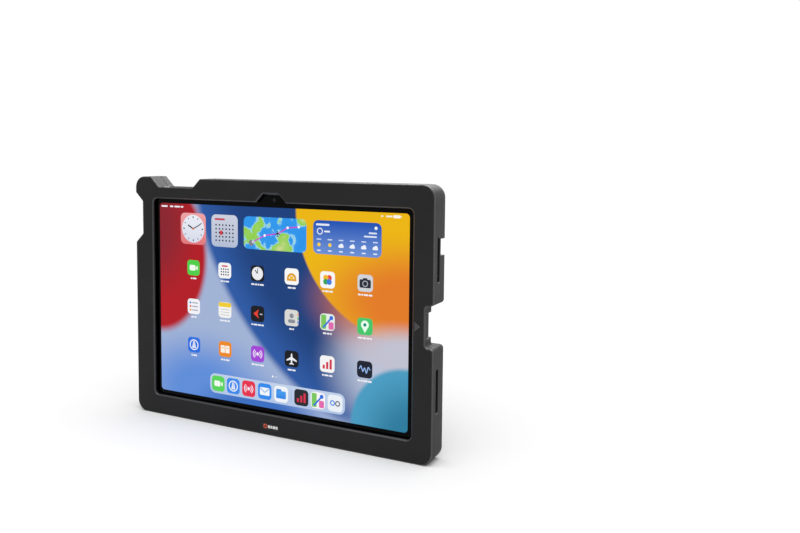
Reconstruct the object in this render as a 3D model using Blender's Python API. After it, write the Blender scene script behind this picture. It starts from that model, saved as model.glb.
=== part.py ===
"""Flight-deck tablet in a two-piece screwed hard case, built as separate solids.

Lengths are written in millimetres and become metres where a mesh is made. The case stands on its long
bottom edge: X runs right as seen from the screen side, Y runs back (the screen faces -Y), Z runs up.
The origin is in the middle of the bottom edge, halfway through the case's depth.
"""

import math

import bmesh
import bpy
from mathutils import Vector

MM = 0.001

# ---------------------------------------------------------------- driving sizes, millimetres
TABLET_WIDTH = 247.6
TABLET_HEIGHT = 178.5
TABLET_THICKNESS = 6.1
TABLET_CORNER = 12.0
SCREEN_BORDER_X = 10.25
SCREEN_BORDER_Z = 10.35

CASE_DEPTH = 20.0
WALL_LEFT = 12.1
WALL_RIGHT = 9.6
WALL_BOTTOM = 9.4
WALL_TOP = 9.8
CASE_CORNER = 9.5
EDGE_CHAMFER = 0.7
LIP_THICKNESS = 2.7
SHELL_SPLIT = 12.3

GAP = 0.3
POCKET_FIT = 0.5

EAR_RISE = 1.0
EAR_RADIUS = 9.0

WINDOW_BORDER_X = 4.25
WINDOW_BORDER_Z = 3.8
WINDOW_CORNER = 4.0
WINDOW_CHAMFER = 0.9
CAMERA_NOTCH_WIDTH = 27.6
CAMERA_NOTCH_TOP_WIDTH = 14.6
CAMERA_NOTCH_RISE = 6.9
CAMERA_NOTCH_RADIUS = 1.8

POWER_LENGTH = 19.5
POWER_FROM_CORNER = 1.25
POWER_FINGER_ROOM = 3.85
POWER_NOTCH_WALL = 4.8
VOLUME_LENGTH = 11.5
VOLUME_SPACING = 15.0
VOLUME_FROM_CORNER = 4.55
VOLUME_FINGER_ROOM = 4.25
VOLUME_NOTCH_WALL = 2.45
NOTCH_RADIUS = 1.6
FINGER_SLOT_MARGIN = 2.4
FINGER_SLOT_INTO_REAR = 0.7

BUTTON_THICKNESS = 2.6
BUTTON_PROUD = 0.6
BUTTON_TRAVEL = 0.3
BUTTON_FLANGE = 0.7
FLANGE_THICKNESS = 0.5
SWITCH_DEPTH = 1.6

PORT_NOTCH_HALF = 15.0
PORT_NOTCH_WALL = 3.1
PORT_NOTCH_OUTER_RADIUS = 2.8
PORT_NOTCH_INNER_RADIUS = 2.5
REAR_NOTCH_OVERLAP = 1.4
PORT_SLOT_HALF = 9.0
SOCKET_WIDTH = 9.2
SOCKET_THICKNESS = 3.4
SOCKET_DEPTH = 7.4

SPEAKER_SLOT_LENGTH = 31.6
SPEAKER_SLOT_WIDTH = 4.8
SPEAKER_SLOT_FROM_CENTRE = 46.8
SPEAKER_SLOT_DEPTH = 8.6

SCREW_SHANK_RADIUS = 1.25
SCREW_HEAD_RADIUS = 2.7
SCREW_HEAD_HEIGHT = 2.8
SCREW_SOCKET_RADIUS = 1.45
SCREW_SOCKET_DEPTH = 1.5
SCREW_HEAD_SUNK = 0.8
SCREW_REACH = 9.2
INSERT_RADIUS = 2.0
INSERT_LENGTH = 5.6
SCREW_INSET_LEFT = 7.4
SCREW_INSET_RIGHT = 6.4
SCREW_INSET_TOP = 6.6
SCREW_INSET_BOTTOM = 6.6
MIDDLE_SCREW_SPACING = 70.4
PORT_SCREW_SPACING = 39.2
LEFT_MIDDLE_SCREW = 12.0

DOWEL_RADIUS = 1.3
DOWEL_LENGTH = 9.0
DOWEL_SUNK = 1.2
UPPER_DOWEL_FROM_RIGHT = 24.0
UPPER_DOWEL_FROM_TOP = 4.4
LOWER_DOWEL_FROM_BOTTOM = 13.4

TROUGH_LENGTH = 71.0
TROUGH_WIDTH = 15.8
TROUGH_DEPTH = 5.6
TROUGH_END_RADIUS = 5.2
TOP_TROUGH_FROM_TOP = 18.9
SIDE_TROUGH_LAND = 2.6

RECESS_HALF_HEIGHT = 30.8
RECESS_RIGHT = 115.2
RECESS_LEFT = 69.3
RECESS_DEPTH = 1.2
RECESS_RADIUS = 6.0
POCKET_HALF_HEIGHT = 18.2
POCKET_DEPTH = 5.0
POCKET_RADIUS = 3.2
ADAPTER_POCKET_RIGHT = 19.6
ADAPTER_POCKET_LEFT = 60.0
CABLE_BAY_LENGTH = 52.0
CABLE_BAY_RIM = 1.5

CAMERA_FROM_LEFT = 11.9
CAMERA_FROM_TOP = 12.8
CAMERA_HOLE_RADIUS = 9.4
CAMERA_FLARE = 2.6
CAMERA_FLARE_DEPTH = 4.2
CAMERA_TAIL_LENGTH = 20.0
CAMERA_TAIL_RADIUS = 1.6
CAMERA_RING_RADIUS = 6.6
CAMERA_LENS_RADIUS = 5.0
CAMERA_RING_PROUD = 1.0
MICROPHONE_FROM_CAMERA = 13.6
MICROPHONE_RADIUS = 0.8

TETHER_NOTCH_DEPTH = 3.5
TETHER_NOTCH_LENGTH = 12.0
TETHER_NOTCH_CENTRE = 55.5
TETHER_HOLE_WIDTH = 3.8
TETHER_HOLE_LENGTH = 8.2
TETHER_HOLE_CENTRE = 45.6
TETHER_HOLE_FROM_EDGE = 7.2
TETHER_CHANNEL_DEPTH = 2.8

LABEL_WIDTH = 32.0
LABEL_HEIGHT = 15.8
LABEL_FROM_LEFT = 35.6
LABEL_FROM_BOTTOM = 2.6
BADGE_WIDTH = 15.2
BADGE_HEIGHT = 4.4
BADGE_FROM_BOTTOM = 7.0
ARROW_LENGTH = 5.0
ARROW_HEIGHT = 7.6
ARROW_FROM_RIGHT = 9.4
TRIM_THICKNESS = 0.2
TRIM_POCKET = 0.55

GLASS_THICKNESS = 0.8
GLASS_INSET = 0.9
HOUSING_WALL = 1.2
HOUSING_FLOOR = 0.8
PANEL_THICKNESS = 1.2
PANEL_BORDER = 2.0
CELL_CLEARANCE = 0.8
GASKET_THICKNESS = 0.5
PAD_INSET = 14.0

# ---------------------------------------------------------------- planes and edges worked out from them
SCREEN_WIDTH = TABLET_WIDTH - 2 * SCREEN_BORDER_X
SCREEN_HEIGHT = TABLET_HEIGHT - 2 * SCREEN_BORDER_Z
CASE_WIDTH = WALL_LEFT + WALL_RIGHT + TABLET_WIDTH + 2 * POCKET_FIT
BODY_HEIGHT = WALL_BOTTOM + WALL_TOP + TABLET_HEIGHT + 2 * POCKET_FIT
LEFT = -CASE_WIDTH / 2
RIGHT = CASE_WIDTH / 2
TOP = BODY_HEIGHT
FRONT = -CASE_DEPTH / 2
BACK = CASE_DEPTH / 2
SPLIT = FRONT + SHELL_SPLIT

TABLET_LEFT = LEFT + WALL_LEFT + POCKET_FIT
TABLET_RIGHT = TABLET_LEFT + TABLET_WIDTH
TABLET_BOTTOM = WALL_BOTTOM + POCKET_FIT
TABLET_TOP = TABLET_BOTTOM + TABLET_HEIGHT
TABLET_X = (TABLET_LEFT + TABLET_RIGHT) / 2
TABLET_Z = (TABLET_BOTTOM + TABLET_TOP) / 2
LIP_BACK = FRONT + LIP_THICKNESS
GLASS_FRONT = LIP_BACK + 2 * GAP + GASKET_THICKNESS
TABLET_BACK = GLASS_FRONT + TABLET_THICKNESS
TABLET_Y = (GLASS_FRONT + TABLET_BACK) / 2

POWER_Z = TABLET_TOP - TABLET_CORNER - POWER_FROM_CORNER - POWER_LENGTH / 2
POWER_NOTCH_HALF = POWER_LENGTH / 2 + POWER_FINGER_ROOM
VOLUME_HALF = (VOLUME_SPACING + VOLUME_LENGTH) / 2
VOLUME_X = TABLET_LEFT + TABLET_CORNER + VOLUME_FROM_CORNER + VOLUME_HALF
VOLUME_NOTCH_HALF = VOLUME_HALF + VOLUME_FINGER_ROOM
POWER_NOTCH_X = TABLET_LEFT - POCKET_FIT - POWER_NOTCH_WALL
VOLUME_NOTCH_Z = TABLET_TOP + POCKET_FIT + VOLUME_NOTCH_WALL
PORT_NOTCH_X = TABLET_RIGHT + POCKET_FIT + PORT_NOTCH_WALL
REAR_NOTCH_X = TABLET_RIGHT - REAR_NOTCH_OVERLAP
SIDE_TROUGH_X = TABLET_X - RECESS_LEFT - SIDE_TROUGH_LAND - TROUGH_WIDTH / 2
CAMERA_X = TABLET_LEFT + CAMERA_FROM_LEFT
CAMERA_Z = TABLET_TOP - CAMERA_FROM_TOP

SCREW_SEAT = BACK - SCREW_HEAD_SUNK - SCREW_HEAD_HEIGHT
SCREW_TIP = SCREW_SEAT - SCREW_REACH
INSERT_NEAR = SPLIT - GAP - INSERT_LENGTH
INSERT_HOLE_FLOOR = min(SCREW_TIP, INSERT_NEAR) - GAP
COUNTERBORE_RADIUS = SCREW_HEAD_RADIUS + 0.4
ROUND_STEPS = 5
HOLE_SIDES = 12
PAST = 2.0

MATERIALS = {
    "machined_black_acetal": ((0.030, 0.030, 0.032), 0.48, 0.0),
    "anodised_aluminium": ((0.42, 0.43, 0.45), 0.38, 1.0),
    "screen_glass": ((0.010, 0.010, 0.012), 0.06, 0.0),
    "lit_display": ((0.10, 0.22, 0.48), 0.25, 0.0),
    "black_oxide_steel": ((0.045, 0.045, 0.048), 0.36, 1.0),
    "brass": ((0.72, 0.52, 0.22), 0.32, 1.0),
    "ground_steel": ((0.55, 0.56, 0.58), 0.28, 1.0),
    "closed_cell_foam": ((0.020, 0.020, 0.021), 0.90, 0.0),
    "white_label": ((0.80, 0.80, 0.79), 0.45, 0.0),
    "printed_badge": ((0.75, 0.20, 0.06), 0.35, 0.0),
    "grey_marking": ((0.10, 0.10, 0.105), 0.60, 0.0),
    "battery_wrap": ((0.035, 0.037, 0.042), 0.45, 0.0),
    "circuit_board": ((0.015, 0.060, 0.035), 0.50, 0.0),
    "tinned_steel": ((0.62, 0.63, 0.64), 0.34, 1.0),
    "speaker_plastic": ((0.025, 0.025, 0.027), 0.55, 0.0),
    "lens_glass": ((0.012, 0.013, 0.020), 0.04, 0.0),
}


# ---------------------------------------------------------------- outlines
def rounded_outline(corners, grow=0.0, steps=ROUND_STEPS):
    """Closed outline of (u, v, radius) corners taken anticlockwise, its edges moved out by grow."""
    count = len(corners)
    points = [Vector((corner[0], corner[1])) for corner in corners]
    moved = []
    for i in range(count):
        into = (points[i] - points[i - 1]).normalized()
        out = (points[(i + 1) % count] - points[i]).normalized()
        normal_in = Vector((into.y, -into.x))
        normal_out = Vector((out.y, -out.x))
        share = grow / (1.0 + normal_in.dot(normal_out))
        moved.append(points[i] + (normal_in + normal_out) * share)
    outline = []
    for i in range(count):
        radius = corners[i][2]
        if radius == 0:
            outline.append(tuple(moved[i]))
            continue
        into = (moved[i] - moved[i - 1]).normalized()
        out = (moved[(i + 1) % count] - moved[i]).normalized()
        turn = math.atan2(into.x * out.y - into.y * out.x, into.dot(out))
        side = 1.0 if turn > 0 else -1.0
        radius = max(radius + side * grow, 0.1)
        centre = moved[i] - into * radius * math.tan(abs(turn) / 2) + Vector((-into.y, into.x)) * side * radius
        start = math.atan2(-side * into.x, side * into.y)
        for step in range(steps + 1):
            angle = start + turn * step / steps
            outline.append((centre.x + radius * math.cos(angle), centre.y + radius * math.sin(angle)))
    return outline


def rectangle(u_low, u_high, v_low, v_high, radius=0.0):
    """Corners of a rectangle, anticlockwise, for rounded_outline."""
    return [(u_low, v_low, radius), (u_high, v_low, radius), (u_high, v_high, radius), (u_low, v_high, radius)]


def circle(u, v, radius, sides=HOLE_SIDES):
    """Round outline."""
    turns = [2 * math.pi * i / sides for i in range(sides)]
    return [(u + radius * math.cos(a), v + radius * math.sin(a)) for a in turns]


def hexagon(u, v, radius, sides=HOLE_SIDES):
    """Six-sided outline with as many points as a round one, so the two can be joined."""
    points = []
    for i in range(sides):
        angle = 2 * math.pi * i / sides
        from_flat = (angle % (math.pi / 3)) - math.pi / 6
        reach = radius * math.cos(math.pi / 6) / math.cos(from_flat)
        points.append((u + reach * math.cos(angle), v + reach * math.sin(angle)))
    return points


def teardrop(grow=0.0, steps=10):
    """Camera cut-out: a round end at the lens and straight tangents to a small round tail."""
    tail_u = CAMERA_X + CAMERA_TAIL_LENGTH
    lean = math.asin((CAMERA_HOLE_RADIUS - CAMERA_TAIL_RADIUS) / CAMERA_TAIL_LENGTH)
    start = math.pi / 2 - lean
    points = []
    for step in range(steps + 1):
        angle = start + (2 * math.pi - 2 * start) * step / steps
        radius = CAMERA_HOLE_RADIUS + grow
        points.append((CAMERA_X + radius * math.cos(angle), CAMERA_Z + radius * math.sin(angle)))
    for step in range(ROUND_STEPS + 1):
        angle = -start + 2 * start * step / ROUND_STEPS
        radius = CAMERA_TAIL_RADIUS + grow
        points.append((tail_u + radius * math.cos(angle), CAMERA_Z + radius * math.sin(angle)))
    return points


def case_corners(port_floor, port_inner_radius):
    """Case outline with the ear, the two finger notches and the port notch, anticlockwise from bottom left."""
    volume_low = VOLUME_X - VOLUME_NOTCH_HALF
    volume_high = VOLUME_X + VOLUME_NOTCH_HALF
    volume_depth = TOP - VOLUME_NOTCH_Z
    power_low = POWER_Z - POWER_NOTCH_HALF
    power_high = POWER_Z + POWER_NOTCH_HALF
    power_depth = POWER_NOTCH_X - LEFT
    port_low = TABLET_Z - PORT_NOTCH_HALF
    port_high = TABLET_Z + PORT_NOTCH_HALF
    return [
        (LEFT, 0.0, CASE_CORNER),
        (RIGHT, 0.0, CASE_CORNER),
        (RIGHT, port_low, PORT_NOTCH_OUTER_RADIUS),
        (port_floor, port_low, port_inner_radius),
        (port_floor, port_high, port_inner_radius),
        (RIGHT, port_high, PORT_NOTCH_OUTER_RADIUS),
        (RIGHT, TOP, CASE_CORNER),
        (volume_high + volume_depth, TOP, NOTCH_RADIUS),
        (volume_high, VOLUME_NOTCH_Z, NOTCH_RADIUS),
        (volume_low, VOLUME_NOTCH_Z, NOTCH_RADIUS),
        (volume_low - volume_depth - EAR_RISE, TOP + EAR_RISE, NOTCH_RADIUS),
        (LEFT, TOP + EAR_RISE, EAR_RADIUS),
        (LEFT, power_high + power_depth, NOTCH_RADIUS),
        (POWER_NOTCH_X, power_high, NOTCH_RADIUS),
        (POWER_NOTCH_X, power_low, NOTCH_RADIUS),
        (LEFT, power_low - power_depth, NOTCH_RADIUS),
    ]


def window_corners():
    """Screen window with the raised bay for the front camera in its top edge."""
    low_x = TABLET_X - SCREEN_WIDTH / 2 - WINDOW_BORDER_X
    high_x = TABLET_X + SCREEN_WIDTH / 2 + WINDOW_BORDER_X
    low_z = TABLET_Z - SCREEN_HEIGHT / 2 - WINDOW_BORDER_Z
    high_z = TABLET_Z + SCREEN_HEIGHT / 2 + WINDOW_BORDER_Z
    foot = CAMERA_NOTCH_WIDTH / 2
    head = CAMERA_NOTCH_TOP_WIDTH / 2
    return [
        (low_x, low_z, WINDOW_CORNER),
        (high_x, low_z, WINDOW_CORNER),
        (high_x, high_z, WINDOW_CORNER),
        (foot, high_z, CAMERA_NOTCH_RADIUS),
        (head, high_z + CAMERA_NOTCH_RISE, CAMERA_NOTCH_RADIUS),
        (-head, high_z + CAMERA_NOTCH_RISE, CAMERA_NOTCH_RADIUS),
        (-foot, high_z, CAMERA_NOTCH_RADIUS),
        (low_x, high_z, WINDOW_CORNER),
    ]


def tablet_corners(inset=0.0):
    """Tablet outline, moved in by inset with its corners kept concentric."""
    return rectangle(
        TABLET_LEFT + inset, TABLET_RIGHT - inset, TABLET_BOTTOM + inset, TABLET_TOP - inset, TABLET_CORNER - inset
    )


# ---------------------------------------------------------------- meshes
def to_world(axis, u, v, w):
    """Point of a section (u, v) at distance w along an axis; sections are XZ along Y, YZ along X, XY along Z."""
    ordered = {"X": (w, u, v), "Y": (u, w, v), "Z": (u, v, w)}[axis]
    return Vector(ordered) * MM


def loft(name, sections, material=None, axis="Y", ring=False, origin=(0.0, 0.0, 0.0)):
    """Solid through (outline, distance) sections with the same number of points, capped or closed on itself."""
    bm = bmesh.new()
    start = Vector(origin) * MM
    rows = []
    for outline, distance in sections:
        rows.append([bm.verts.new(to_world(axis, u, v, distance) - start) for u, v in outline])
    count = len(rows[0])
    pairs = list(zip(rows, rows[1:]))
    if ring:
        pairs.append((rows[-1], rows[0]))
    else:
        bm.faces.new(rows[0])
        bm.faces.new(list(reversed(rows[-1])))
    for near, far in pairs:
        for i in range(count):
            j = (i + 1) % count
            bm.faces.new((near[i], far[i], far[j], near[j]))
    bmesh.ops.recalc_face_normals(bm, faces=bm.faces)
    mesh = bpy.data.meshes.new(name)
    bm.to_mesh(mesh)
    bm.free()
    obj = bpy.data.objects.new(name, mesh)
    obj.location = start
    bpy.context.scene.collection.objects.link(obj)
    if material:
        mesh.materials.append(material)
        mesh.shade_smooth()
        mesh.set_sharp_from_angle(angle=math.radians(30))
    return obj


def prism(name, outline, low, high, material=None, axis="Y", origin=(0.0, 0.0, 0.0)):
    """Straight solid from low to high."""
    return loft(name, [(outline, low), (outline, high)], material, axis, False, origin)


def cut(target, cutter):
    """Takes the cutter's shape away from the target."""
    cutter.hide_render = True
    cutter.display_type = "WIRE"
    modifier = target.modifiers.new(cutter.name, "BOOLEAN")
    modifier.operation = "DIFFERENCE"
    modifier.object = cutter


def trough(name, centre_u, centre_v, along):
    """Scooped cutter with an elliptical section and rounded ends, sunk into the back face."""
    half_width = TROUGH_WIDTH / 2
    arc = [math.pi * i / 12 for i in range(13)]
    sections = []
    for sign in (-1, 1):
        for step in range(4):
            angle = math.pi / 2 * (3 - step) / 3 if sign < 0 else math.pi / 2 * step / 3
            less = TROUGH_END_RADIUS * (1 - math.cos(angle))
            reach = TROUGH_LENGTH / 2 - TROUGH_END_RADIUS * (1 - math.sin(angle))
            width = half_width - less
            depth = TROUGH_DEPTH - less * TROUGH_DEPTH / half_width
            profile = [(width * math.cos(a), BACK - depth * math.sin(a)) for a in arc]
            profile += [(-width, BACK + PAST), (width, BACK + PAST)]
            if along == "X":
                outline = [(y, centre_v + across) for across, y in profile]
                sections.append((outline, centre_u + sign * reach))
            else:
                outline = [(centre_u + across, y) for across, y in profile]
                sections.append((outline, centre_v + sign * reach))
    return loft(name, sections, axis=along)


# ---------------------------------------------------------------- places of the fasteners
def screw_places():
    """Middle of each case screw: along the top, along the bottom, then beside the port and the left edge."""
    left = LEFT + SCREW_INSET_LEFT
    right = RIGHT - SCREW_INSET_RIGHT
    columns = [left, TABLET_X - MIDDLE_SCREW_SPACING / 2, TABLET_X + MIDDLE_SCREW_SPACING / 2, right]
    places = [(x, TOP - SCREW_INSET_TOP) for x in columns]
    places += [(x, SCREW_INSET_BOTTOM) for x in columns]
    places += [(right, TABLET_Z + side * PORT_SCREW_SPACING / 2) for side in (1, -1)]
    places.append((left, TABLET_Z + LEFT_MIDDLE_SCREW))
    return places


def dowel_places():
    """Middle of the two locating dowels, at opposite corners."""
    upper = (RIGHT - UPPER_DOWEL_FROM_RIGHT, TOP - UPPER_DOWEL_FROM_TOP)
    lower = (LEFT + SCREW_INSET_LEFT, LOWER_DOWEL_FROM_BOTTOM)
    return {"upper": upper, "lower": lower}


def speaker_slots():
    """Side of the case, middle and length of each speaker slot."""
    low = TABLET_Z - SPEAKER_SLOT_FROM_CENTRE
    high = TABLET_Z + SPEAKER_SLOT_FROM_CENTRE
    start = high - SPEAKER_SLOT_LENGTH / 2
    end = min(high + SPEAKER_SLOT_LENGTH / 2, POWER_Z - POWER_NOTCH_HALF)
    return {
        "right_upper": (1, high, SPEAKER_SLOT_LENGTH),
        "right_lower": (1, low, SPEAKER_SLOT_LENGTH),
        "left_upper": (-1, (start + end) / 2, end - start),
        "left_lower": (-1, low, SPEAKER_SLOT_LENGTH),
    }


# ---------------------------------------------------------------- openings shared by both shells
def cut_finger_slots(shell, tag):
    """Windows through the notch floors, through which fingers reach the buttons."""
    near = GLASS_FRONT
    far = SPLIT + FINGER_SLOT_INTO_REAR
    half = POWER_LENGTH / 2 + FINGER_SLOT_MARGIN
    power = rectangle(near, far, POWER_Z - half, POWER_Z + half, NOTCH_RADIUS)
    outside = POWER_NOTCH_X - PAST
    inside = TABLET_LEFT + PAST
    cut(shell, prism(tag + "_power_slot_cutter", rounded_outline(power), outside, inside, axis="X"))
    half = VOLUME_HALF + FINGER_SLOT_MARGIN
    volume = rectangle(VOLUME_X - half, VOLUME_X + half, near, far, NOTCH_RADIUS)
    inside = TABLET_TOP - PAST
    outside = VOLUME_NOTCH_Z + PAST
    cut(shell, prism(tag + "_volume_slot_cutter", rounded_outline(volume), inside, outside, axis="Z"))


def cut_trim_pocket(shell, name, outline, face, inward):
    """Shallow seat for a flush label, badge or marking."""
    cut(shell, prism(name + "_seat_cutter", outline, face + inward * TRIM_POCKET, face - inward * PAST))


def chamfered_shell(name, corners, chamfered, plain, material):
    """Shell block whose outer edge is chamfered at one face."""
    inward = 1 if plain > chamfered else -1
    sections = [
        (rounded_outline(corners, -EDGE_CHAMFER), chamfered),
        (rounded_outline(corners), chamfered + inward * EDGE_CHAMFER),
        (rounded_outline(corners), plain),
    ]
    return loft(name, sections, material)


# ---------------------------------------------------------------- the case
def build_front_shell(materials):
    """Deep front shell: lip round the screen, pocket for the tablet, slots and insert holes."""
    corners = case_corners(PORT_NOTCH_X, PORT_NOTCH_INNER_RADIUS)
    shell = chamfered_shell("front_shell", corners, FRONT, SPLIT - GAP / 2, materials["machined_black_acetal"])
    pocket = rounded_outline(tablet_corners(-POCKET_FIT))
    cut(shell, prism("tablet_pocket_cutter", pocket, LIP_BACK, SPLIT + PAST))
    window = window_corners()
    sections = [
        (rounded_outline(window, WINDOW_CHAMFER + PAST), FRONT - PAST),
        (rounded_outline(window), FRONT + WINDOW_CHAMFER),
        (rounded_outline(window), LIP_BACK + PAST),
    ]
    cut(shell, loft("window_cutter", sections))
    cut_finger_slots(shell, "front")
    port = rectangle(GLASS_FRONT, SPLIT + PAST, TABLET_Z - PORT_SLOT_HALF, TABLET_Z + PORT_SLOT_HALF)
    inside = TABLET_RIGHT - PAST
    cut(shell, prism("port_slot_cutter", rounded_outline(port), inside, PORT_NOTCH_X + PAST, axis="X"))
    for side_name, (side, middle, length) in speaker_slots().items():
        near = FRONT + SPEAKER_SLOT_DEPTH - SPEAKER_SLOT_WIDTH / 2
        slot = rectangle(near, near + SPEAKER_SLOT_WIDTH, middle - length / 2, middle + length / 2, NOTCH_RADIUS)
        inside = TABLET_RIGHT - PAST if side > 0 else TABLET_LEFT + PAST
        outside = RIGHT + PAST if side > 0 else LEFT - PAST
        low, high = sorted((inside, outside))
        cut(shell, prism(side_name + "_slot_cutter", rounded_outline(slot), low, high, axis="X"))
    for number, (x, z) in enumerate(screw_places(), 1):
        hole = circle(x, z, INSERT_RADIUS + GAP)
        cut(shell, prism(f"insert_hole_{number:02d}_cutter", hole, INSERT_HOLE_FLOOR, SPLIT + PAST))
    for tag, (x, z) in dowel_places().items():
        hole = circle(x, z, DOWEL_RADIUS + GAP)
        cut(shell, prism(f"front_{tag}_dowel_cutter", hole, BACK - DOWEL_SUNK - DOWEL_LENGTH - GAP, SPLIT + PAST))
    cut_trim_pocket(shell, "badge", badge_outline(GAP), FRONT, 1)
    cut_trim_pocket(shell, "arrow", arrow_outline(GAP), FRONT, 1)


def build_rear_shell(materials):
    """Flat rear shell: finger troughs, adapter recess with two pockets, camera cut-out and screw seats."""
    corners = case_corners(REAR_NOTCH_X, PORT_NOTCH_INNER_RADIUS + 1.0)
    shell = chamfered_shell("rear_shell", corners, BACK, SPLIT + GAP / 2, materials["machined_black_acetal"])
    cut_finger_slots(shell, "rear")
    for number, (x, z) in enumerate(screw_places(), 1):
        sections = [
            (circle(x, z, SCREW_SHANK_RADIUS + GAP), SPLIT - PAST),
            (circle(x, z, SCREW_SHANK_RADIUS + GAP), SCREW_SEAT - GAP),
            (circle(x, z, COUNTERBORE_RADIUS), SCREW_SEAT - GAP),
            (circle(x, z, COUNTERBORE_RADIUS), BACK + PAST),
        ]
        cut(shell, loft(f"counterbore_{number:02d}_cutter", sections))
    for tag, (x, z) in dowel_places().items():
        hole = circle(x, z, DOWEL_RADIUS + GAP)
        cut(shell, prism(f"rear_{tag}_dowel_cutter", hole, SPLIT - PAST, BACK + PAST))
    cut(shell, trough("top_trough_cutter", TABLET_X, TOP - TOP_TROUGH_FROM_TOP, "X"))
    cut(shell, trough("side_trough_cutter", SIDE_TROUGH_X, TABLET_Z, "Z"))
    cut_adapter_recess(shell)
    flare = [
        (teardrop(), SPLIT - PAST),
        (teardrop(), BACK - CAMERA_FLARE_DEPTH),
        (teardrop(CAMERA_FLARE), BACK),
        (teardrop(CAMERA_FLARE), BACK + PAST),
    ]
    cut(shell, loft("camera_cutter", flare))
    cut_tether_anchor(shell)
    cut_trim_pocket(shell, "label", label_outline(GAP), BACK, -1)


def cut_adapter_recess(shell):
    """Shallow field on the back with a deeper pocket for the bracket adapter and one for the cable."""
    low = TABLET_Z - RECESS_HALF_HEIGHT
    high = TABLET_Z + RECESS_HALF_HEIGHT
    field = rectangle(TABLET_X - RECESS_LEFT, TABLET_X + RECESS_RIGHT, low, high, RECESS_RADIUS)
    cut(shell, prism("recess_cutter", rounded_outline(field), BACK - RECESS_DEPTH, BACK + PAST))
    low = TABLET_Z - POCKET_HALF_HEIGHT
    high = TABLET_Z + POCKET_HALF_HEIGHT
    bay_right = REAR_NOTCH_X - CABLE_BAY_RIM
    spans = {
        "adapter": (TABLET_X - ADAPTER_POCKET_LEFT, TABLET_X + ADAPTER_POCKET_RIGHT),
        "cable": (bay_right - CABLE_BAY_LENGTH, bay_right),
    }
    for tag, (left, right) in spans.items():
        pocket = rounded_outline(rectangle(left, right, low, high, POCKET_RADIUS))
        cut(shell, prism(tag + "_pocket_cutter", pocket, BACK - POCKET_DEPTH, BACK + PAST))


def cut_tether_anchor(shell):
    """Edge notch and slot joined by a channel under a bar, for a wrist or seat tether."""
    half = TETHER_NOTCH_LENGTH / 2
    middle = TABLET_Z + TETHER_NOTCH_CENTRE
    floor = RIGHT - TETHER_NOTCH_DEPTH
    notch = rectangle(floor, RIGHT + PAST, middle - half, middle + half, 1.0)
    cut(shell, prism("tether_notch_cutter", rounded_outline(notch), SPLIT - PAST, BACK + PAST))
    hole_x = RIGHT - TETHER_HOLE_FROM_EDGE
    hole_z = TABLET_Z + TETHER_HOLE_CENTRE
    half_width = TETHER_HOLE_WIDTH / 2
    half_length = TETHER_HOLE_LENGTH / 2
    hole = rectangle(hole_x - half_width, hole_x + half_width, hole_z - half_length, hole_z + half_length,
                     half_width - 0.05)
    cut(shell, prism("tether_hole_cutter", rounded_outline(hole), SPLIT + TETHER_CHANNEL_DEPTH / 2, BACK + PAST))
    channel = rectangle(hole_x - half_width, RIGHT - GAP * 7, hole_z, middle - half + 2 * half_width, 0.8)
    cut(shell, prism("tether_channel_cutter", rounded_outline(channel), SPLIT - PAST, SPLIT + TETHER_CHANNEL_DEPTH))


def build_fasteners(materials):
    """Eleven socket-head screws, their brass inserts and two dowels."""
    for number, (x, z) in enumerate(screw_places(), 1):
        head_back = SCREW_SEAT + SCREW_HEAD_HEIGHT
        sections = [
            (circle(x, z, SCREW_SHANK_RADIUS), SCREW_TIP),
            (circle(x, z, SCREW_SHANK_RADIUS), SCREW_SEAT),
            (circle(x, z, SCREW_HEAD_RADIUS), SCREW_SEAT),
            (circle(x, z, SCREW_HEAD_RADIUS), head_back),
            (hexagon(x, z, SCREW_SOCKET_RADIUS), head_back),
            (hexagon(x, z, SCREW_SOCKET_RADIUS), head_back - SCREW_SOCKET_DEPTH),
        ]
        origin = (x, SCREW_SEAT, z)
        loft(f"case_screw_{number:02d}", sections, materials["black_oxide_steel"], origin=origin)
        far = SPLIT - GAP
        inner = SCREW_SHANK_RADIUS + GAP
        sections = [
            (circle(x, z, INSERT_RADIUS), INSERT_NEAR),
            (circle(x, z, INSERT_RADIUS), far),
            (circle(x, z, inner), far),
            (circle(x, z, inner), INSERT_NEAR),
        ]
        loft(f"threaded_insert_{number:02d}", sections, materials["brass"], ring=True, origin=(x, far, z))
    for tag, (x, z) in dowel_places().items():
        far = BACK - DOWEL_SUNK
        origin = (x, far, z)
        round_pin = circle(x, z, DOWEL_RADIUS)
        prism(f"dowel_pin_{tag}", round_pin, far - DOWEL_LENGTH, far, materials["ground_steel"], origin=origin)


def build_seals(materials):
    """Gasket between lip and glass, open at the front camera, and the foam pad behind the tablet."""
    outer = rounded_outline(tablet_corners(-POCKET_FIT + GAP))
    gasket = prism("front_gasket", outer, LIP_BACK + GAP, LIP_BACK + GAP + GASKET_THICKNESS,
                   materials["closed_cell_foam"])
    window = rounded_outline(window_corners(), 1.0)
    cut(gasket, prism("gasket_window_cutter", window, LIP_BACK - PAST, LIP_BACK + PAST))
    top_left = rectangle(-CAMERA_NOTCH_TOP_WIDTH / 2, CAMERA_NOTCH_TOP_WIDTH / 2, TABLET_TOP - PAST, TOP)
    cut(gasket, prism("gasket_camera_cutter", rounded_outline(top_left), LIP_BACK - PAST, LIP_BACK + PAST))
    camera_side = CAMERA_X + CAMERA_TAIL_LENGTH + CAMERA_FLARE + PAD_INSET / 2
    pad = rectangle(camera_side, TABLET_RIGHT - PAD_INSET, TABLET_BOTTOM + PAD_INSET, TABLET_TOP - PAD_INSET, 4.0)
    prism("rear_pad", rounded_outline(pad), TABLET_BACK + GAP, SPLIT - GAP / 2, materials["closed_cell_foam"])


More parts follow.
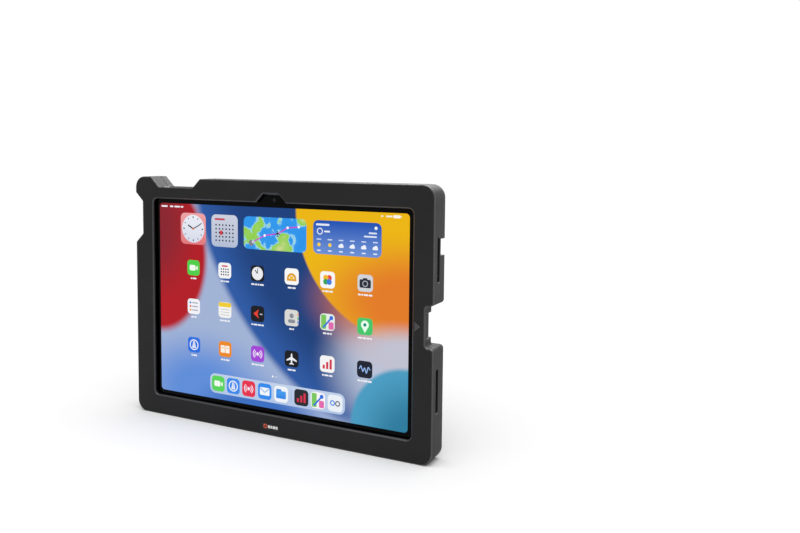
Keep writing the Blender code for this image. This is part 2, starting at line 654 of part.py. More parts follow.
def label_outline(grow=0.0):
    """Identification label near the lower corner of the back."""
    left = LEFT + LABEL_FROM_LEFT
    corners = rectangle(left, left + LABEL_WIDTH, LABEL_FROM_BOTTOM, LABEL_FROM_BOTTOM + LABEL_HEIGHT, 1.5)
    return rounded_outline(corners, grow, 3)


def badge_outline(grow=0.0):
    """Small badge in the middle of the bottom bezel."""
    half_width = BADGE_WIDTH / 2
    half_height = BADGE_HEIGHT / 2
    low = BADGE_FROM_BOTTOM - half_height
    return rounded_outline(rectangle(-half_width, half_width, low, low + BADGE_HEIGHT, 1.2), grow, 3)


def arrow_outline(grow=0.0):
    """Small triangle on the right bezel that points at the port notch."""
    tip = RIGHT - ARROW_FROM_RIGHT
    half = ARROW_HEIGHT / 2
    base = tip - ARROW_LENGTH
    corners = [(base, TABLET_Z - half, 0.3), (tip, TABLET_Z, 0.3), (base, TABLET_Z + half, 0.3)]
    return rounded_outline(corners, grow, 2)


def build_trim(materials):
    """Flush label, badge and direction arrow, each in its own seat."""
    near = FRONT + TRIM_POCKET - GAP
    prism("front_badge", badge_outline(), near - TRIM_THICKNESS, near, materials["printed_badge"])
    prism("direction_arrow", arrow_outline(), near - TRIM_THICKNESS, near, materials["grey_marking"])
    near = BACK - TRIM_POCKET + GAP
    prism("id_label", label_outline(), near, near + TRIM_THICKNESS, materials["white_label"])


# ---------------------------------------------------------------- the tablet
def button_outline(length, grow=0.0):
    """Long rounded key face, first across the tablet's thickness and then along its edge."""
    half = length / 2 + grow
    thick = BUTTON_THICKNESS / 2 + grow
    return thick, half


def button_places():
    """Edge, middle along that edge and length of each key."""
    return {
        "power": ("X", POWER_Z, POWER_LENGTH),
        "volume_up": ("Z", VOLUME_X - VOLUME_SPACING / 2, VOLUME_LENGTH),
        "volume_down": ("Z", VOLUME_X + VOLUME_SPACING / 2, VOLUME_LENGTH),
    }


def key_section(axis, middle, length, grow):
    """Section of a key or of its window, in the plane across its travel."""
    thick, half = button_outline(length, grow)
    radius = thick - 0.05
    if axis == "X":
        corners = rectangle(TABLET_Y - thick, TABLET_Y + thick, middle - half, middle + half, radius)
    else:
        corners = rectangle(middle - half, middle + half, TABLET_Y - thick, TABLET_Y + thick, radius)
    return rounded_outline(corners)


def build_housing(materials):
    """Aluminium tray with windows for keys, port, rear camera and microphone."""
    near = GLASS_FRONT + GAP
    tray = prism("tablet_housing", rounded_outline(tablet_corners()), near, TABLET_BACK,
                 materials["anodised_aluminium"])
    glass_seat = rounded_outline(tablet_corners(GLASS_INSET - GAP))
    cut(tray, prism("glass_seat_cutter", glass_seat, near - PAST, GLASS_FRONT + GLASS_THICKNESS + GAP))
    hollow = rounded_outline(tablet_corners(HOUSING_WALL))
    cut(tray, prism("housing_hollow_cutter", hollow, GLASS_FRONT, TABLET_BACK - HOUSING_FLOOR))
    for tag, (axis, middle, length) in button_places().items():
        edge = TABLET_LEFT if axis == "X" else TABLET_TOP
        window = key_section(axis, middle, length, GAP)
        cut(tray, prism(tag + "_window_cutter", window, edge - PAST, edge + PAST, axis=axis))
    socket_window = socket_section(GAP)
    cut(tray, prism("socket_window_cutter", socket_window, TABLET_RIGHT - PAST, TABLET_RIGHT + PAST, axis="X"))
    hole = circle(CAMERA_X, CAMERA_Z, CAMERA_LENS_RADIUS + 2 * GAP, 28)
    cut(tray, prism("camera_hole_cutter", hole, TABLET_BACK - PAST, TABLET_BACK + PAST))
    hole = circle(CAMERA_X + MICROPHONE_FROM_CAMERA, CAMERA_Z, MICROPHONE_RADIUS, 12)
    cut(tray, prism("microphone_hole_cutter", hole, TABLET_BACK - PAST, TABLET_BACK + PAST))


def socket_section(grow=0.0):
    """Obround mouth of the charging socket, in the plane of the tablet's right edge."""
    half = SOCKET_WIDTH / 2 + grow
    thick = SOCKET_THICKNESS / 2 + grow
    corners = rectangle(TABLET_Y - thick, TABLET_Y + thick, TABLET_Z - half, TABLET_Z + half, thick - 0.05)
    return rounded_outline(corners)


def build_display(materials):
    """Cover glass and the display panel behind it."""
    glass = rounded_outline(tablet_corners(GLASS_INSET))
    prism("cover_glass", glass, GLASS_FRONT, GLASS_FRONT + GLASS_THICKNESS, materials["screen_glass"])
    half_width = SCREEN_WIDTH / 2 + PANEL_BORDER
    half_height = SCREEN_HEIGHT / 2 + PANEL_BORDER
    panel = rectangle(TABLET_X - half_width, TABLET_X + half_width, TABLET_Z - half_height, TABLET_Z + half_height)
    near = GLASS_FRONT + GLASS_THICKNESS + GAP
    prism("display_panel", rounded_outline(panel), near, near + PANEL_THICKNESS, materials["lit_display"])


def build_keys(materials):
    """Three keys with a retaining flange inside the wall, and a switch behind each."""
    for tag, (axis, middle, length) in button_places().items():
        inward = 1 if axis == "X" else -1
        edge = TABLET_LEFT if axis == "X" else TABLET_TOP
        face = edge - inward * BUTTON_PROUD
        flange_out = edge + inward * (HOUSING_WALL + GAP)
        flange_in = flange_out + inward * FLANGE_THICKNESS
        key = key_section(axis, middle, length, 0.0)
        flange = key_section(axis, middle, length, BUTTON_FLANGE)
        sections = [(key, face), (key, flange_out), (flange, flange_out), (flange, flange_in)]
        origin = (face, TABLET_Y, middle) if axis == "X" else (middle, TABLET_Y, face)
        loft(tag + "_button", sections, materials["anodised_aluminium"], axis, origin=origin)
        switch_out = flange_in + inward * (BUTTON_TRAVEL + GAP)
        switch = key_section(axis, middle, length / 2, 0.0)
        low, high = sorted((switch_out, switch_out + inward * SWITCH_DEPTH))
        prism(tag + "_switch", switch, low, high, materials["tinned_steel"], axis)


def build_internals(materials):
    """Cells, board, shield, speakers, socket, microphone and front camera inside the tray."""
    panel_back = GLASS_FRONT + GLASS_THICKNESS + GAP + PANEL_THICKNESS
    near = panel_back + GAP
    far = TABLET_BACK - HOUSING_FLOOR - CELL_CLEARANCE
    low = TABLET_Z - SCREEN_HEIGHT / 2 + PANEL_BORDER
    high = TABLET_Z + SCREEN_HEIGHT / 2 - PANEL_BORDER
    board_half = TABLET_WIDTH / 14
    cell_outer = SCREEN_WIDTH / 2 - 2 * PANEL_BORDER - SWITCH_DEPTH
    cell_top = CAMERA_Z - CAMERA_RING_RADIUS - PANEL_BORDER
    for tag, side in (("left", -1), ("right", 1)):
        u_low, u_high = sorted((TABLET_X + side * (board_half + PANEL_BORDER), TABLET_X + side * cell_outer))
        cell = rounded_outline(rectangle(u_low, u_high, low, cell_top, 3.0))
        prism("battery_" + tag, cell, near, far, materials["battery_wrap"])
    board = rectangle(TABLET_X - board_half, TABLET_X + board_half, low, high)
    board_back = near + (far - near) / 3
    prism("logic_board", rounded_outline(board), near, board_back, materials["circuit_board"])
    shield = rectangle(TABLET_X - board_half + PANEL_BORDER, TABLET_X + board_half - PANEL_BORDER, TABLET_Z, high)
    prism("board_shield", rounded_outline(shield), board_back + GAP, far, materials["tinned_steel"])
    build_speakers(materials)
    build_socket(materials)
    near = GLASS_FRONT + GLASS_THICKNESS + GAP
    lens = circle(TABLET_X, TABLET_TOP - 4.6, 1.6, 14)
    prism("front_camera", lens, near, near + 2.4, materials["lens_glass"])
    hole_x = CAMERA_X + MICROPHONE_FROM_CAMERA
    far = TABLET_BACK - HOUSING_FLOOR - GAP
    can = rounded_outline(rectangle(hole_x - 1.6, hole_x + 1.6, CAMERA_Z - 1.2, CAMERA_Z + 1.2, 0.4), 0.0, 2)
    prism("microphone", can, far - 0.7, far, materials["tinned_steel"])


def build_speakers(materials):
    """Four speaker boxes just inside the side walls, in line with the case's slots."""
    thick = 1.6
    deep = SCREEN_BORDER_X - PANEL_BORDER - HOUSING_WALL - 2 * GAP
    for tag, (side, middle, length) in speaker_slots().items():
        edge = TABLET_RIGHT if side > 0 else TABLET_LEFT
        outer = edge - side * (HOUSING_WALL + GAP)
        low, high = sorted((outer, outer - side * deep))
        half = length / 2 - GAP
        box = rectangle(TABLET_Y - thick, TABLET_Y + thick, middle - half, middle + half, 0.8)
        prism("speaker_" + tag, rounded_outline(box, 0.0, 2), low, high, materials["speaker_plastic"], "X")


def build_socket(materials):
    """Charging socket: an obround sleeve with a blind mouth and a contact tongue in it."""
    thin = 0.45
    mouth = TABLET_RIGHT - GAP
    sections = [
        (socket_section(-thin), mouth - SOCKET_DEPTH + 1.0),
        (socket_section(-thin), mouth),
        (socket_section(), mouth),
        (socket_section(), mouth - SOCKET_DEPTH),
    ]
    loft("charging_port", sections, materials["ground_steel"], "X")


def build_rear_camera(materials):
    """Lens barrel inside the tray, ring standing proud of the back, and the lens window in it."""
    inner_near = TABLET_BACK - HOUSING_FLOOR - 2.0
    barrel = circle(CAMERA_X, CAMERA_Z, CAMERA_LENS_RADIUS - GAP, 28)
    prism("rear_camera_module", barrel, inner_near, TABLET_BACK - GAP, materials["speaker_plastic"])
    ring_near = TABLET_BACK + GAP
    ring_far = ring_near + CAMERA_RING_PROUD
    sections = [
        (circle(CAMERA_X, CAMERA_Z, CAMERA_RING_RADIUS, 28), ring_near),
        (circle(CAMERA_X, CAMERA_Z, CAMERA_RING_RADIUS, 28), ring_far),
        (circle(CAMERA_X, CAMERA_Z, CAMERA_LENS_RADIUS, 28), ring_far),
        (circle(CAMERA_X, CAMERA_Z, CAMERA_LENS_RADIUS, 28), ring_near),
    ]
    loft("camera_ring", sections, materials["anodised_aluminium"], ring=True)
    window = circle(CAMERA_X, CAMERA_Z, CAMERA_LENS_RADIUS - GAP, 28)
    prism("camera_lens", window, ring_near, ring_far - GAP, materials["lens_glass"])


# ---------------------------------------------------------------- assembly
def make_materials():
    """One Principled material for each finish."""
    made = {}
    for name, (colour, roughness, metallic) in MATERIALS.items():
        material = bpy.data.materials.new(name)
        material.use_nodes = True
        shader = material.node_tree.nodes["Principled BSDF"]
        shader.inputs["Base Color"].default_value = (*colour, 1.0)
        shader.inputs["Roughness"].default_value = roughness
        shader.inputs["Metallic"].default_value = metallic
        made[name] = material
    return made


def main():
    """Clears the scene and builds every piece."""
    for obj in list(bpy.data.objects):
        bpy.data.objects.remove(obj)
    materials = make_materials()
    build_front_shell(materials)
    build_rear_shell(materials)
    build_fasteners(materials)
    build_seals(materials)
    build_trim(materials)
    build_housing(materials)
    build_display(materials)
    build_keys(materials)
    build_internals(materials)
    build_rear_camera(materials)


main()
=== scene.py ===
"""Finished looks of a flight-deck tablet in its milled, screwed, two-piece hard case.

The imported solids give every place. This script makes the fine shells, fasteners, trim and lit screen
around them, dresses what stays, and sets up a plain studio. Sizes in the classes are millimetres.
"""

import logging
import math
from dataclasses import dataclass, field
from enum import Enum
from typing import Callable, Iterable, Sequence

import bmesh
import bpy
from mathutils import Euler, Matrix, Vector


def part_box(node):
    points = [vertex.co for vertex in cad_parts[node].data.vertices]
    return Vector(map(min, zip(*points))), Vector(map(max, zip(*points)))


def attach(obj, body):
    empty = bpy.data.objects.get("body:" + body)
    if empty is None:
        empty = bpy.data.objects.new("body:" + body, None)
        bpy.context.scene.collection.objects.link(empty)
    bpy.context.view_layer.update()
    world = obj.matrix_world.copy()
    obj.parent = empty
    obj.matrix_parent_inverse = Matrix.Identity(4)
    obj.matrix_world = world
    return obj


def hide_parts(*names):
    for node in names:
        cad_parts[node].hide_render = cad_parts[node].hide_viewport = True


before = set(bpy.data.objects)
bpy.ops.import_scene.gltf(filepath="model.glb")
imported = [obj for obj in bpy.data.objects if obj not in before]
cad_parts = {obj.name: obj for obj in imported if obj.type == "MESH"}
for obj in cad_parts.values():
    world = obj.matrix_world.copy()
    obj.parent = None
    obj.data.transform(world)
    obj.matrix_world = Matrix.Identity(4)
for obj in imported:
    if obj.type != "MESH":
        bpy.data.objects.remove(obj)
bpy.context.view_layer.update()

MM = 0.001
PAST = 2.0
# Room left round and under a part that sits in the case, and half of the gap between the shells.
CLEARANCE = 0.3
HALF_SPLIT = 0.15
SCREWS = 11
CAPTIONED_TILES = 18
ARC_STEPS = 10
SMOOTH_ANGLE = math.radians(30)
INK = "ink"
# A band texture of this scale over a length repeats once in that length.
WAVE = 0.314

Corner = tuple[float, float, float]
Outline = list[tuple[float, float]]
Section = tuple[Outline, float]
Shape = Callable[[float], Outline]
Object = bpy.types.Object
Material = bpy.types.Material
Tree = bpy.types.NodeTree
Socket = bpy.types.NodeSocket

log = logging.getLogger("tablet_case")


class Axis(Enum):
    """Direction a solid is drawn along. Its sections lie across it."""

    X = "along the case's width"
    Y = "through the case's depth"
    Z = "up the case"

    def point(self, u: float, v: float, w: float) -> Vector:
        """Point of a section at (u, v), at distance w along the axis, in metres."""
        ordered = {Axis.X: (w, u, v), Axis.Y: (u, w, v), Axis.Z: (u, v, w)}[self]
        return Vector(ordered) * MM


class Body(Enum):
    """What a piece moves with."""

    CASE = "case"
    POWER = "power_key"
    VOLUME_UP = "volume_up_key"
    VOLUME_DOWN = "volume_down_key"


# Outlines.
def rounded(corners: Sequence[Corner], grow: float = 0.0, steps: int = ARC_STEPS) -> Outline:
    """Draws a closed outline with round corners.

    Args:
        corners: (u, v, radius) of each corner, anticlockwise.
        grow: how far the edges move out.
        steps: straight pieces in each round corner.

    Returns:
        The outline's points.
    """
    count = len(corners)
    points = [Vector((corner[0], corner[1])) for corner in corners]
    moved = []
    for i in range(count):
        into = (points[i] - points[i - 1]).normalized()
        out = (points[(i + 1) % count] - points[i]).normalized()
        normal_in = Vector((into.y, -into.x))
        normal_out = Vector((out.y, -out.x))
        moved.append(points[i] + (normal_in + normal_out) * grow / (1.0 + normal_in.dot(normal_out)))
    outline: Outline = []
    for i in range(count):
        into = (moved[i] - moved[i - 1]).normalized()
        out = (moved[(i + 1) % count] - moved[i]).normalized()
        turn = math.atan2(into.x * out.y - into.y * out.x, into.dot(out))
        side = 1.0 if turn > 0 else -1.0
        radius = max(corners[i][2] + side * grow, 0.05)
        centre = moved[i] - into * radius * math.tan(abs(turn) / 2)
        centre += Vector((-into.y, into.x)) * side * radius
        start = math.atan2(-side * into.x, side * into.y)
        for step in range(steps + 1):
            angle = start + turn * step / steps
            outline.append((centre.x + radius * math.cos(angle), centre.y + radius * math.sin(angle)))
    return outline


def box(u_low: float, u_high: float, v_low: float, v_high: float, radius: float) -> list[Corner]:
    """Corners of a rectangle, anticlockwise."""
    places = ((u_low, v_low), (u_high, v_low), (u_high, v_high), (u_low, v_high))
    return [(u, v, radius) for u, v in places]


def circle(u: float, v: float, radius: float, sides: int = 48) -> Outline:
    """Round outline."""
    turns = [2 * math.pi * i / sides for i in range(sides)]
    return [(u + radius * math.cos(a), v + radius * math.sin(a)) for a in turns]


def growing(corners: Sequence[Corner], steps: int = ARC_STEPS, clearance: float = 0.0) -> Shape:
    """Outline with round corners that can be moved out."""
    return lambda grow: rounded(corners, clearance + grow, steps)


def round_hole(middle: Vector, radius: float, sides: int = 24) -> Shape:
    """Circle on the case's face that can be moved out."""
    return lambda grow: circle(middle.x, middle.z, radius + grow, sides)


def turned(steps: Iterable[tuple[float, float]], sides: int, middle: Vector = Vector()) -> list[Section]:
    """Round sections, from their radii and their distances along the axis."""
    return [(circle(middle.x, middle.z, radius, sides), along) for radius, along in steps]


def polygon(u: float, v: float, radius: float, flats: int, sides: int = 48) -> Outline:
    """Draws a regular polygon with as many points as a circle, so the two can be joined.

    Args:
        u: middle across.
        v: middle up.
        radius: from the middle to a corner.
        flats: number of flats.
        sides: number of points.

    Returns:
        The outline's points.
    """
    points: Outline = []
    for i in range(sides):
        angle = 2 * math.pi * i / sides
        from_flat = (angle % (2 * math.pi / flats)) - math.pi / flats
        reach = radius * math.cos(math.pi / flats) / math.cos(from_flat)
        points.append((u + reach * math.cos(angle), v + reach * math.sin(angle)))
    return points


def knurled(u: float, v: float, radius: float, depth: float, sides: int = 48) -> Outline:
    """Round outline with a fine straight knurl."""
    radii = [radius - depth * (i % 2) for i in range(sides)]
    turns = [2 * math.pi * i / sides for i in range(sides)]
    return [(u + r * math.cos(a), v + r * math.sin(a)) for r, a in zip(radii, turns)]


# Meshes.
def new_object(name: str, mesh: bpy.types.Mesh, materials: Iterable[Material] = ()) -> Object:
    """Links an object at the origin and gives it its materials."""
    for material in materials:
        mesh.materials.append(material)
    made = bpy.data.objects.new(name, mesh)
    bpy.context.scene.collection.objects.link(made)
    return made


def settled(made: Object) -> Object:
    """Turns an object's modifiers into plain mesh and takes them off."""
    bpy.context.view_layer.update()
    evaluated = made.evaluated_get(bpy.context.evaluated_depsgraph_get())
    mesh = bpy.data.meshes.new_from_object(evaluated)
    made.modifiers.clear()
    made.data = mesh
    mesh.name = made.name
    return made


def smoothed(made: Object) -> Object:
    """Shades rounds smooth and keeps flats flat up to their edges."""
    made.data.shade_smooth()
    made.data.set_sharp_from_angle(angle=SMOOTH_ANGLE)
    weighted = made.modifiers.new("flat faces", "WEIGHTED_NORMAL")
    weighted.keep_sharp = True
    return settled(made)


def differs(first: Outline, second: Outline) -> bool:
    """Whether two sections of a loft have different outlines."""
    return any(abs(a - b) > 1e-6 for p, q in zip(first, second) for a, b in zip(p, q))


def loft(
    name: str,
    sections: Sequence[Section],
    materials: Sequence[Material] = (),
    axis: Axis = Axis.Y,
    ring: bool = False,
) -> Object:
    """Makes a solid through sections with the same number of points.

    Args:
        name: the object's name.
        sections: outlines and their distances along the axis.
        materials: the finish, and if there is a second one, that of the sloping bands.
        axis: direction the solid is drawn along.
        ring: whether the last section joins the first, in place of two caps.

    Returns:
        The object.
    """
    bm = bmesh.new()
    rows = [[bm.verts.new(axis.point(u, v, w)) for u, v in outline] for outline, w in sections]
    count = len(rows[0])
    order = list(range(len(rows)))
    pairs = list(zip(order, order[1:]))
    if ring:
        pairs.append((order[-1], 0))
    else:
        bm.faces.new(rows[0])
        bm.faces.new(list(reversed(rows[-1])))
    for near, far in pairs:
        step = abs(sections[near][1] - sections[far][1]) > 1e-6
        sloping = step and differs(sections[near][0], sections[far][0])
        for i in range(count):
            j = (i + 1) % count
            face = bm.faces.new((rows[near][i], rows[far][i], rows[far][j], rows[near][j]))
            face.material_index = 1 if sloping and len(materials) > 1 else 0
    bmesh.ops.recalc_face_normals(bm, faces=bm.faces)
    mesh = bpy.data.meshes.new(name)
    bm.to_mesh(mesh)
    bm.free()
    return new_object(name, mesh, materials)


def carve(target: Object, cutters: Sequence[Object]) -> Object:
    """Takes the cutters' shapes away from a solid, and removes the cutters.

    Args:
        target: the solid that is cut.
        cutters: closed solids.

    Returns:
        The cut solid, as plain mesh.
    """
    for cutter in cutters:
        modifier = target.modifiers.new(cutter.name, "BOOLEAN")
        modifier.operation = "DIFFERENCE"
        modifier.object = cutter
    settled(target)
    for cutter in cutters:
        bpy.data.objects.remove(cutter)
    return target


def round_edge(shape: Shape, face: float, inward: int, radius: float, steps: int = 3) -> list[Section]:
    """Sections that round the edge between a face and the sides below it.

    Args:
        shape: gives the outline, moved out by a distance.
        face: plane of the face.
        inward: 1 or -1, from the face into the solid.
        radius: of the rounding.
        steps: bands in it.

    Returns:
        Sections from the face down to the plain sides.
    """
    angles = [math.pi / 2 * step / steps for step in range(steps + 1)]
    return [
        (shape(-radius * (1 - math.sin(angle))), face + inward * radius * (1 - math.cos(angle)))
        for angle in angles
    ]


def mouth(shape: Shape, floor: float, face: float, flare: float, fillet: float = 0.0) -> list[Section]:
    """Sections of a straight cut whose mouth has a broken edge.

    Args:
        shape: gives the outline, moved out by a distance.
        floor: plane the cut starts from.
        face: plane it leaves the solid by.
        flare: width of the broken edge.
        fillet: radius left in the bottom corner.

    Returns:
        Sections from the floor to past the face.
    """
    out = 1 if face > floor else -1
    sections = [(shape(0.0), floor)]
    if fillet:
        sections = [
            (shape(-fillet), floor),
            (shape(-0.3 * fillet), floor + out * 0.3 * fillet),
            (shape(0.0), floor + out * fillet),
        ]
    sections.append((shape(0.0), face - out * flare))
    sections.append((shape(flare), face))
    sections.append((shape(flare), face + out * PAST))
    return sections


# Node trees.
def add(tree: Tree, kind: str, inputs: dict | None = None, **settings: object) -> bpy.types.Node:
    """Adds a node with its settings and links.

    Args:
        tree: shader or geometry tree.
        kind: the node's type name.
        inputs: socket name or number, and the value it holds or the socket that feeds it.
        settings: the node's own properties.

    Returns:
        The node.
    """
    node = tree.nodes.new(kind)
    for key, value in settings.items():
        setattr(node, key, value)
    for key, value in (inputs or {}).items():
        if isinstance(value, Socket):
            tree.links.new(value, node.inputs[key])
        else:
            node.inputs[key].default_value = value
    return node


def linear(code: str) -> tuple[float, float, float, float]:
    """Turns an sRGB hex colour into linear red, green, blue and alpha."""
    levels = [int(code[i : i + 2], 16) / 255 for i in (1, 3, 5)]
    lit = [level / 12.92 if level <= 0.04045 else ((level + 0.055) / 1.055) ** 2.4 for level in levels]
    return (lit[0], lit[1], lit[2], 1.0)


def new_tree(name: str, inputs: dict[str, str]) -> Tree:
    """Starts a geometry tree with one geometry output.

    Args:
        name: the tree's name.
        inputs: each input's name, and the kind of its socket.

    Returns:
        The tree.
    """
    tree = bpy.data.node_groups.new(name, "GeometryNodeTree")
    for label, kind in inputs.items():
        tree.interface.new_socket(label, in_out="INPUT", socket_type="NodeSocket" + kind)
    tree.interface.new_socket("Geometry", in_out="OUTPUT", socket_type="NodeSocketGeometry")
    return tree


def end_tree(tree: Tree, copies: Socket, finish: Socket) -> Tree:
    """Makes the copies real, gives them their finish and sends them out.

    Args:
        tree: the geometry tree.
        copies: the instances.
        finish: the material.

    Returns:
        The tree.
    """
    real = add(tree, "GeometryNodeRealizeInstances", {"Geometry": copies})
    dressed = add(tree, "GeometryNodeSetMaterial", {"Geometry": real.outputs[0], "Material": finish})
    add(tree, "NodeGroupOutput", {"Geometry": dressed.outputs[0]})
    return tree


def copies_tree() -> Tree:
    """Builds the tree that sets a piece on every point of a mesh, each turned about Y by its own amount.

    Returns:
        The tree. The points' own attributes pass to the copies.
    """
    tree = new_tree("copies_on_points", {
        "Points": "Geometry", "Piece": "Object", "Largest Turn": "Float", "Seed": "Int",
        "Finish": "Material"})
    given = add(tree, "NodeGroupInput").outputs
    piece = add(tree, "GeometryNodeObjectInfo", {"Object": given["Piece"], "As Instance": True})
    turn = add(tree, "FunctionNodeRandomValue", {"Min": 0.0, "Seed": given["Seed"]}, data_type="FLOAT")
    tree.links.new(given["Largest Turn"], turn.inputs[3])
    angles = add(tree, "ShaderNodeCombineXYZ", {"Y": turn.outputs[1]})
    placed = add(tree, "GeometryNodeInstanceOnPoints", {
        "Points": given["Points"], "Instance": piece.outputs["Geometry"], "Rotation": angles.outputs[0]})
    return end_tree(tree, placed.outputs[0], given["Finish"])


def grid_tree() -> Tree:
    """Builds the tree that sets a piece in rows and columns, in a plane that faces any way.

    Returns:
        The tree. The grid lies across Z before it is turned by Facing and moved to Centre.
    """
    tree = new_tree("copies_in_a_grid", {
        "Geometry": "Geometry", "Piece": "Object", "Columns": "Int", "Rows": "Int", "Column Pitch": "Float",
        "Row Pitch": "Float", "Centre": "Vector", "Facing": "Vector", "Finish": "Material"})
    given = add(tree, "NodeGroupInput").outputs
    spans = []
    for count, pitch in (("Columns", "Column Pitch"), ("Rows", "Row Pitch")):
        gaps = add(tree, "ShaderNodeMath", {0: given[count], 1: 1.0}, operation="SUBTRACT")
        spans.append(add(
            tree, "ShaderNodeMath", {0: gaps.outputs[0], 1: given[pitch]}, operation="MULTIPLY"))
    grid = add(tree, "GeometryNodeMeshGrid", {
        "Size X": spans[0].outputs[0], "Size Y": spans[1].outputs[0],
        "Vertices X": given["Columns"], "Vertices Y": given["Rows"]})
    piece = add(tree, "GeometryNodeObjectInfo", {"Object": given["Piece"], "As Instance": True})
    placed = add(tree, "GeometryNodeInstanceOnPoints", {
        "Points": grid.outputs[0], "Instance": piece.outputs["Geometry"]})
    moved = add(tree, "GeometryNodeTransform", {
        "Geometry": placed.outputs[0], "Translation": given["Centre"], "Rotation": given["Facing"]})
    return end_tree(tree, moved.outputs[0], given["Finish"])


@dataclass(frozen=True)
class Repeater:
    """The two trees that make what repeats."""

    on_points: Tree = field(default_factory=copies_tree)
    in_grid: Tree = field(default_factory=grid_tree)

    def run(
        self, base: Object, tree: Tree, piece: Object, values: dict[str, object]
    ) -> Object:
        """Runs a tree on an object, keeps the plain mesh and removes the piece that was copied.

        Args:
            base: object whose mesh goes in.
            tree: one of the two trees.
            piece: what is copied.
            values: the tree's named inputs.

        Returns:
            The base object with the copies as its mesh.
        """
        modifier = base.modifiers.new(tree.name, "NODES")
        modifier.node_group = tree
        items = tree.interface.items_tree
        sockets = {item.name: item.identifier for item in items if item.in_out == "INPUT"}
        modifier[sockets["Piece"]] = piece
        for name, value in values.items():
            modifier[sockets[name]] = value
        settled(base)
        bpy.data.objects.remove(piece)
        return base

    def copies(
        self, name: str, places: Sequence[Vector], piece: Object, finish: Material,
        inks: Sequence[str] = (), turn: float = 0.0, seed: int = 4,
    ) -> Object:
        """Sets a piece on chosen places.

        Args:
            name: the new object's name.
            places: points in metres.
            piece: what is copied, modelled round the origin.
            finish: material of the copies.
            inks: a hex colour for each place, if the finish reads them.
            turn: largest turn about Y.
            seed: seed of the turns.

        Returns:
            The new object.
        """
        mesh = bpy.data.meshes.new(name)
        mesh.from_pydata([tuple(place) for place in places], [], [])
        if inks:
            colours = mesh.attributes.new(INK, "FLOAT_COLOR", "POINT")
            for item, code in zip(colours.data, inks):
                item.color = linear(code)
        base = new_object(name, mesh)
        return self.run(base, self.on_points, piece, {"Largest Turn": turn, "Seed": seed, "Finish": finish})

    def grid(
        self, name: str, counts: tuple[int, int], pitches: tuple[float, float], centre: Vector,
        facing: Sequence[float],
        piece: Object, finish: Material,
    ) -> Object:
        """Sets a piece in rows and columns.

        Args:
            name: the new object's name.
            counts: columns and rows.
            pitches: distances between them, in millimetres.
            centre: middle of the grid, in metres.
            facing: turn of the grid from lying across Z.
            piece: what is copied, modelled lying across Z.
            finish: material of the copies.

        Returns:
            The new object.
        """
        base = new_object(name, bpy.data.meshes.new(name))
        values = {
            "Columns": counts[0], "Rows": counts[1],
            "Column Pitch": pitches[0] * MM, "Row Pitch": pitches[1] * MM,
            "Centre": tuple(centre), "Facing": tuple(facing), "Finish": finish,
        }
        return self.run(base, self.in_grid, piece, values)


# Finishes.
@dataclass(frozen=True)
class Coat:
    """A material in the making: its tree, its Principled node and its Object coordinates."""

    tree: Tree
    shader: bpy.types.Node
    where: Socket

    def feed(self, name: str, source: Socket) -> None:
        """Links a socket to one of the shader's."""
        self.tree.links.new(source, self.shader.inputs[name])

    def bump(self, height: Socket, relief: float, below: Socket | None = None) -> Socket:
        """Raises the surface.

        Args:
            height: pattern, 0 to 1.
            relief: its height in millimetres.
            below: normal of the relief under it.

        Returns:
            The new normal.
        """
        inputs = {"Height": height, "Strength": 1.0, "Distance": relief * MM}
        if below:
            inputs["Normal"] = below
        return add(self.tree, "ShaderNodeBump", inputs).outputs[0]


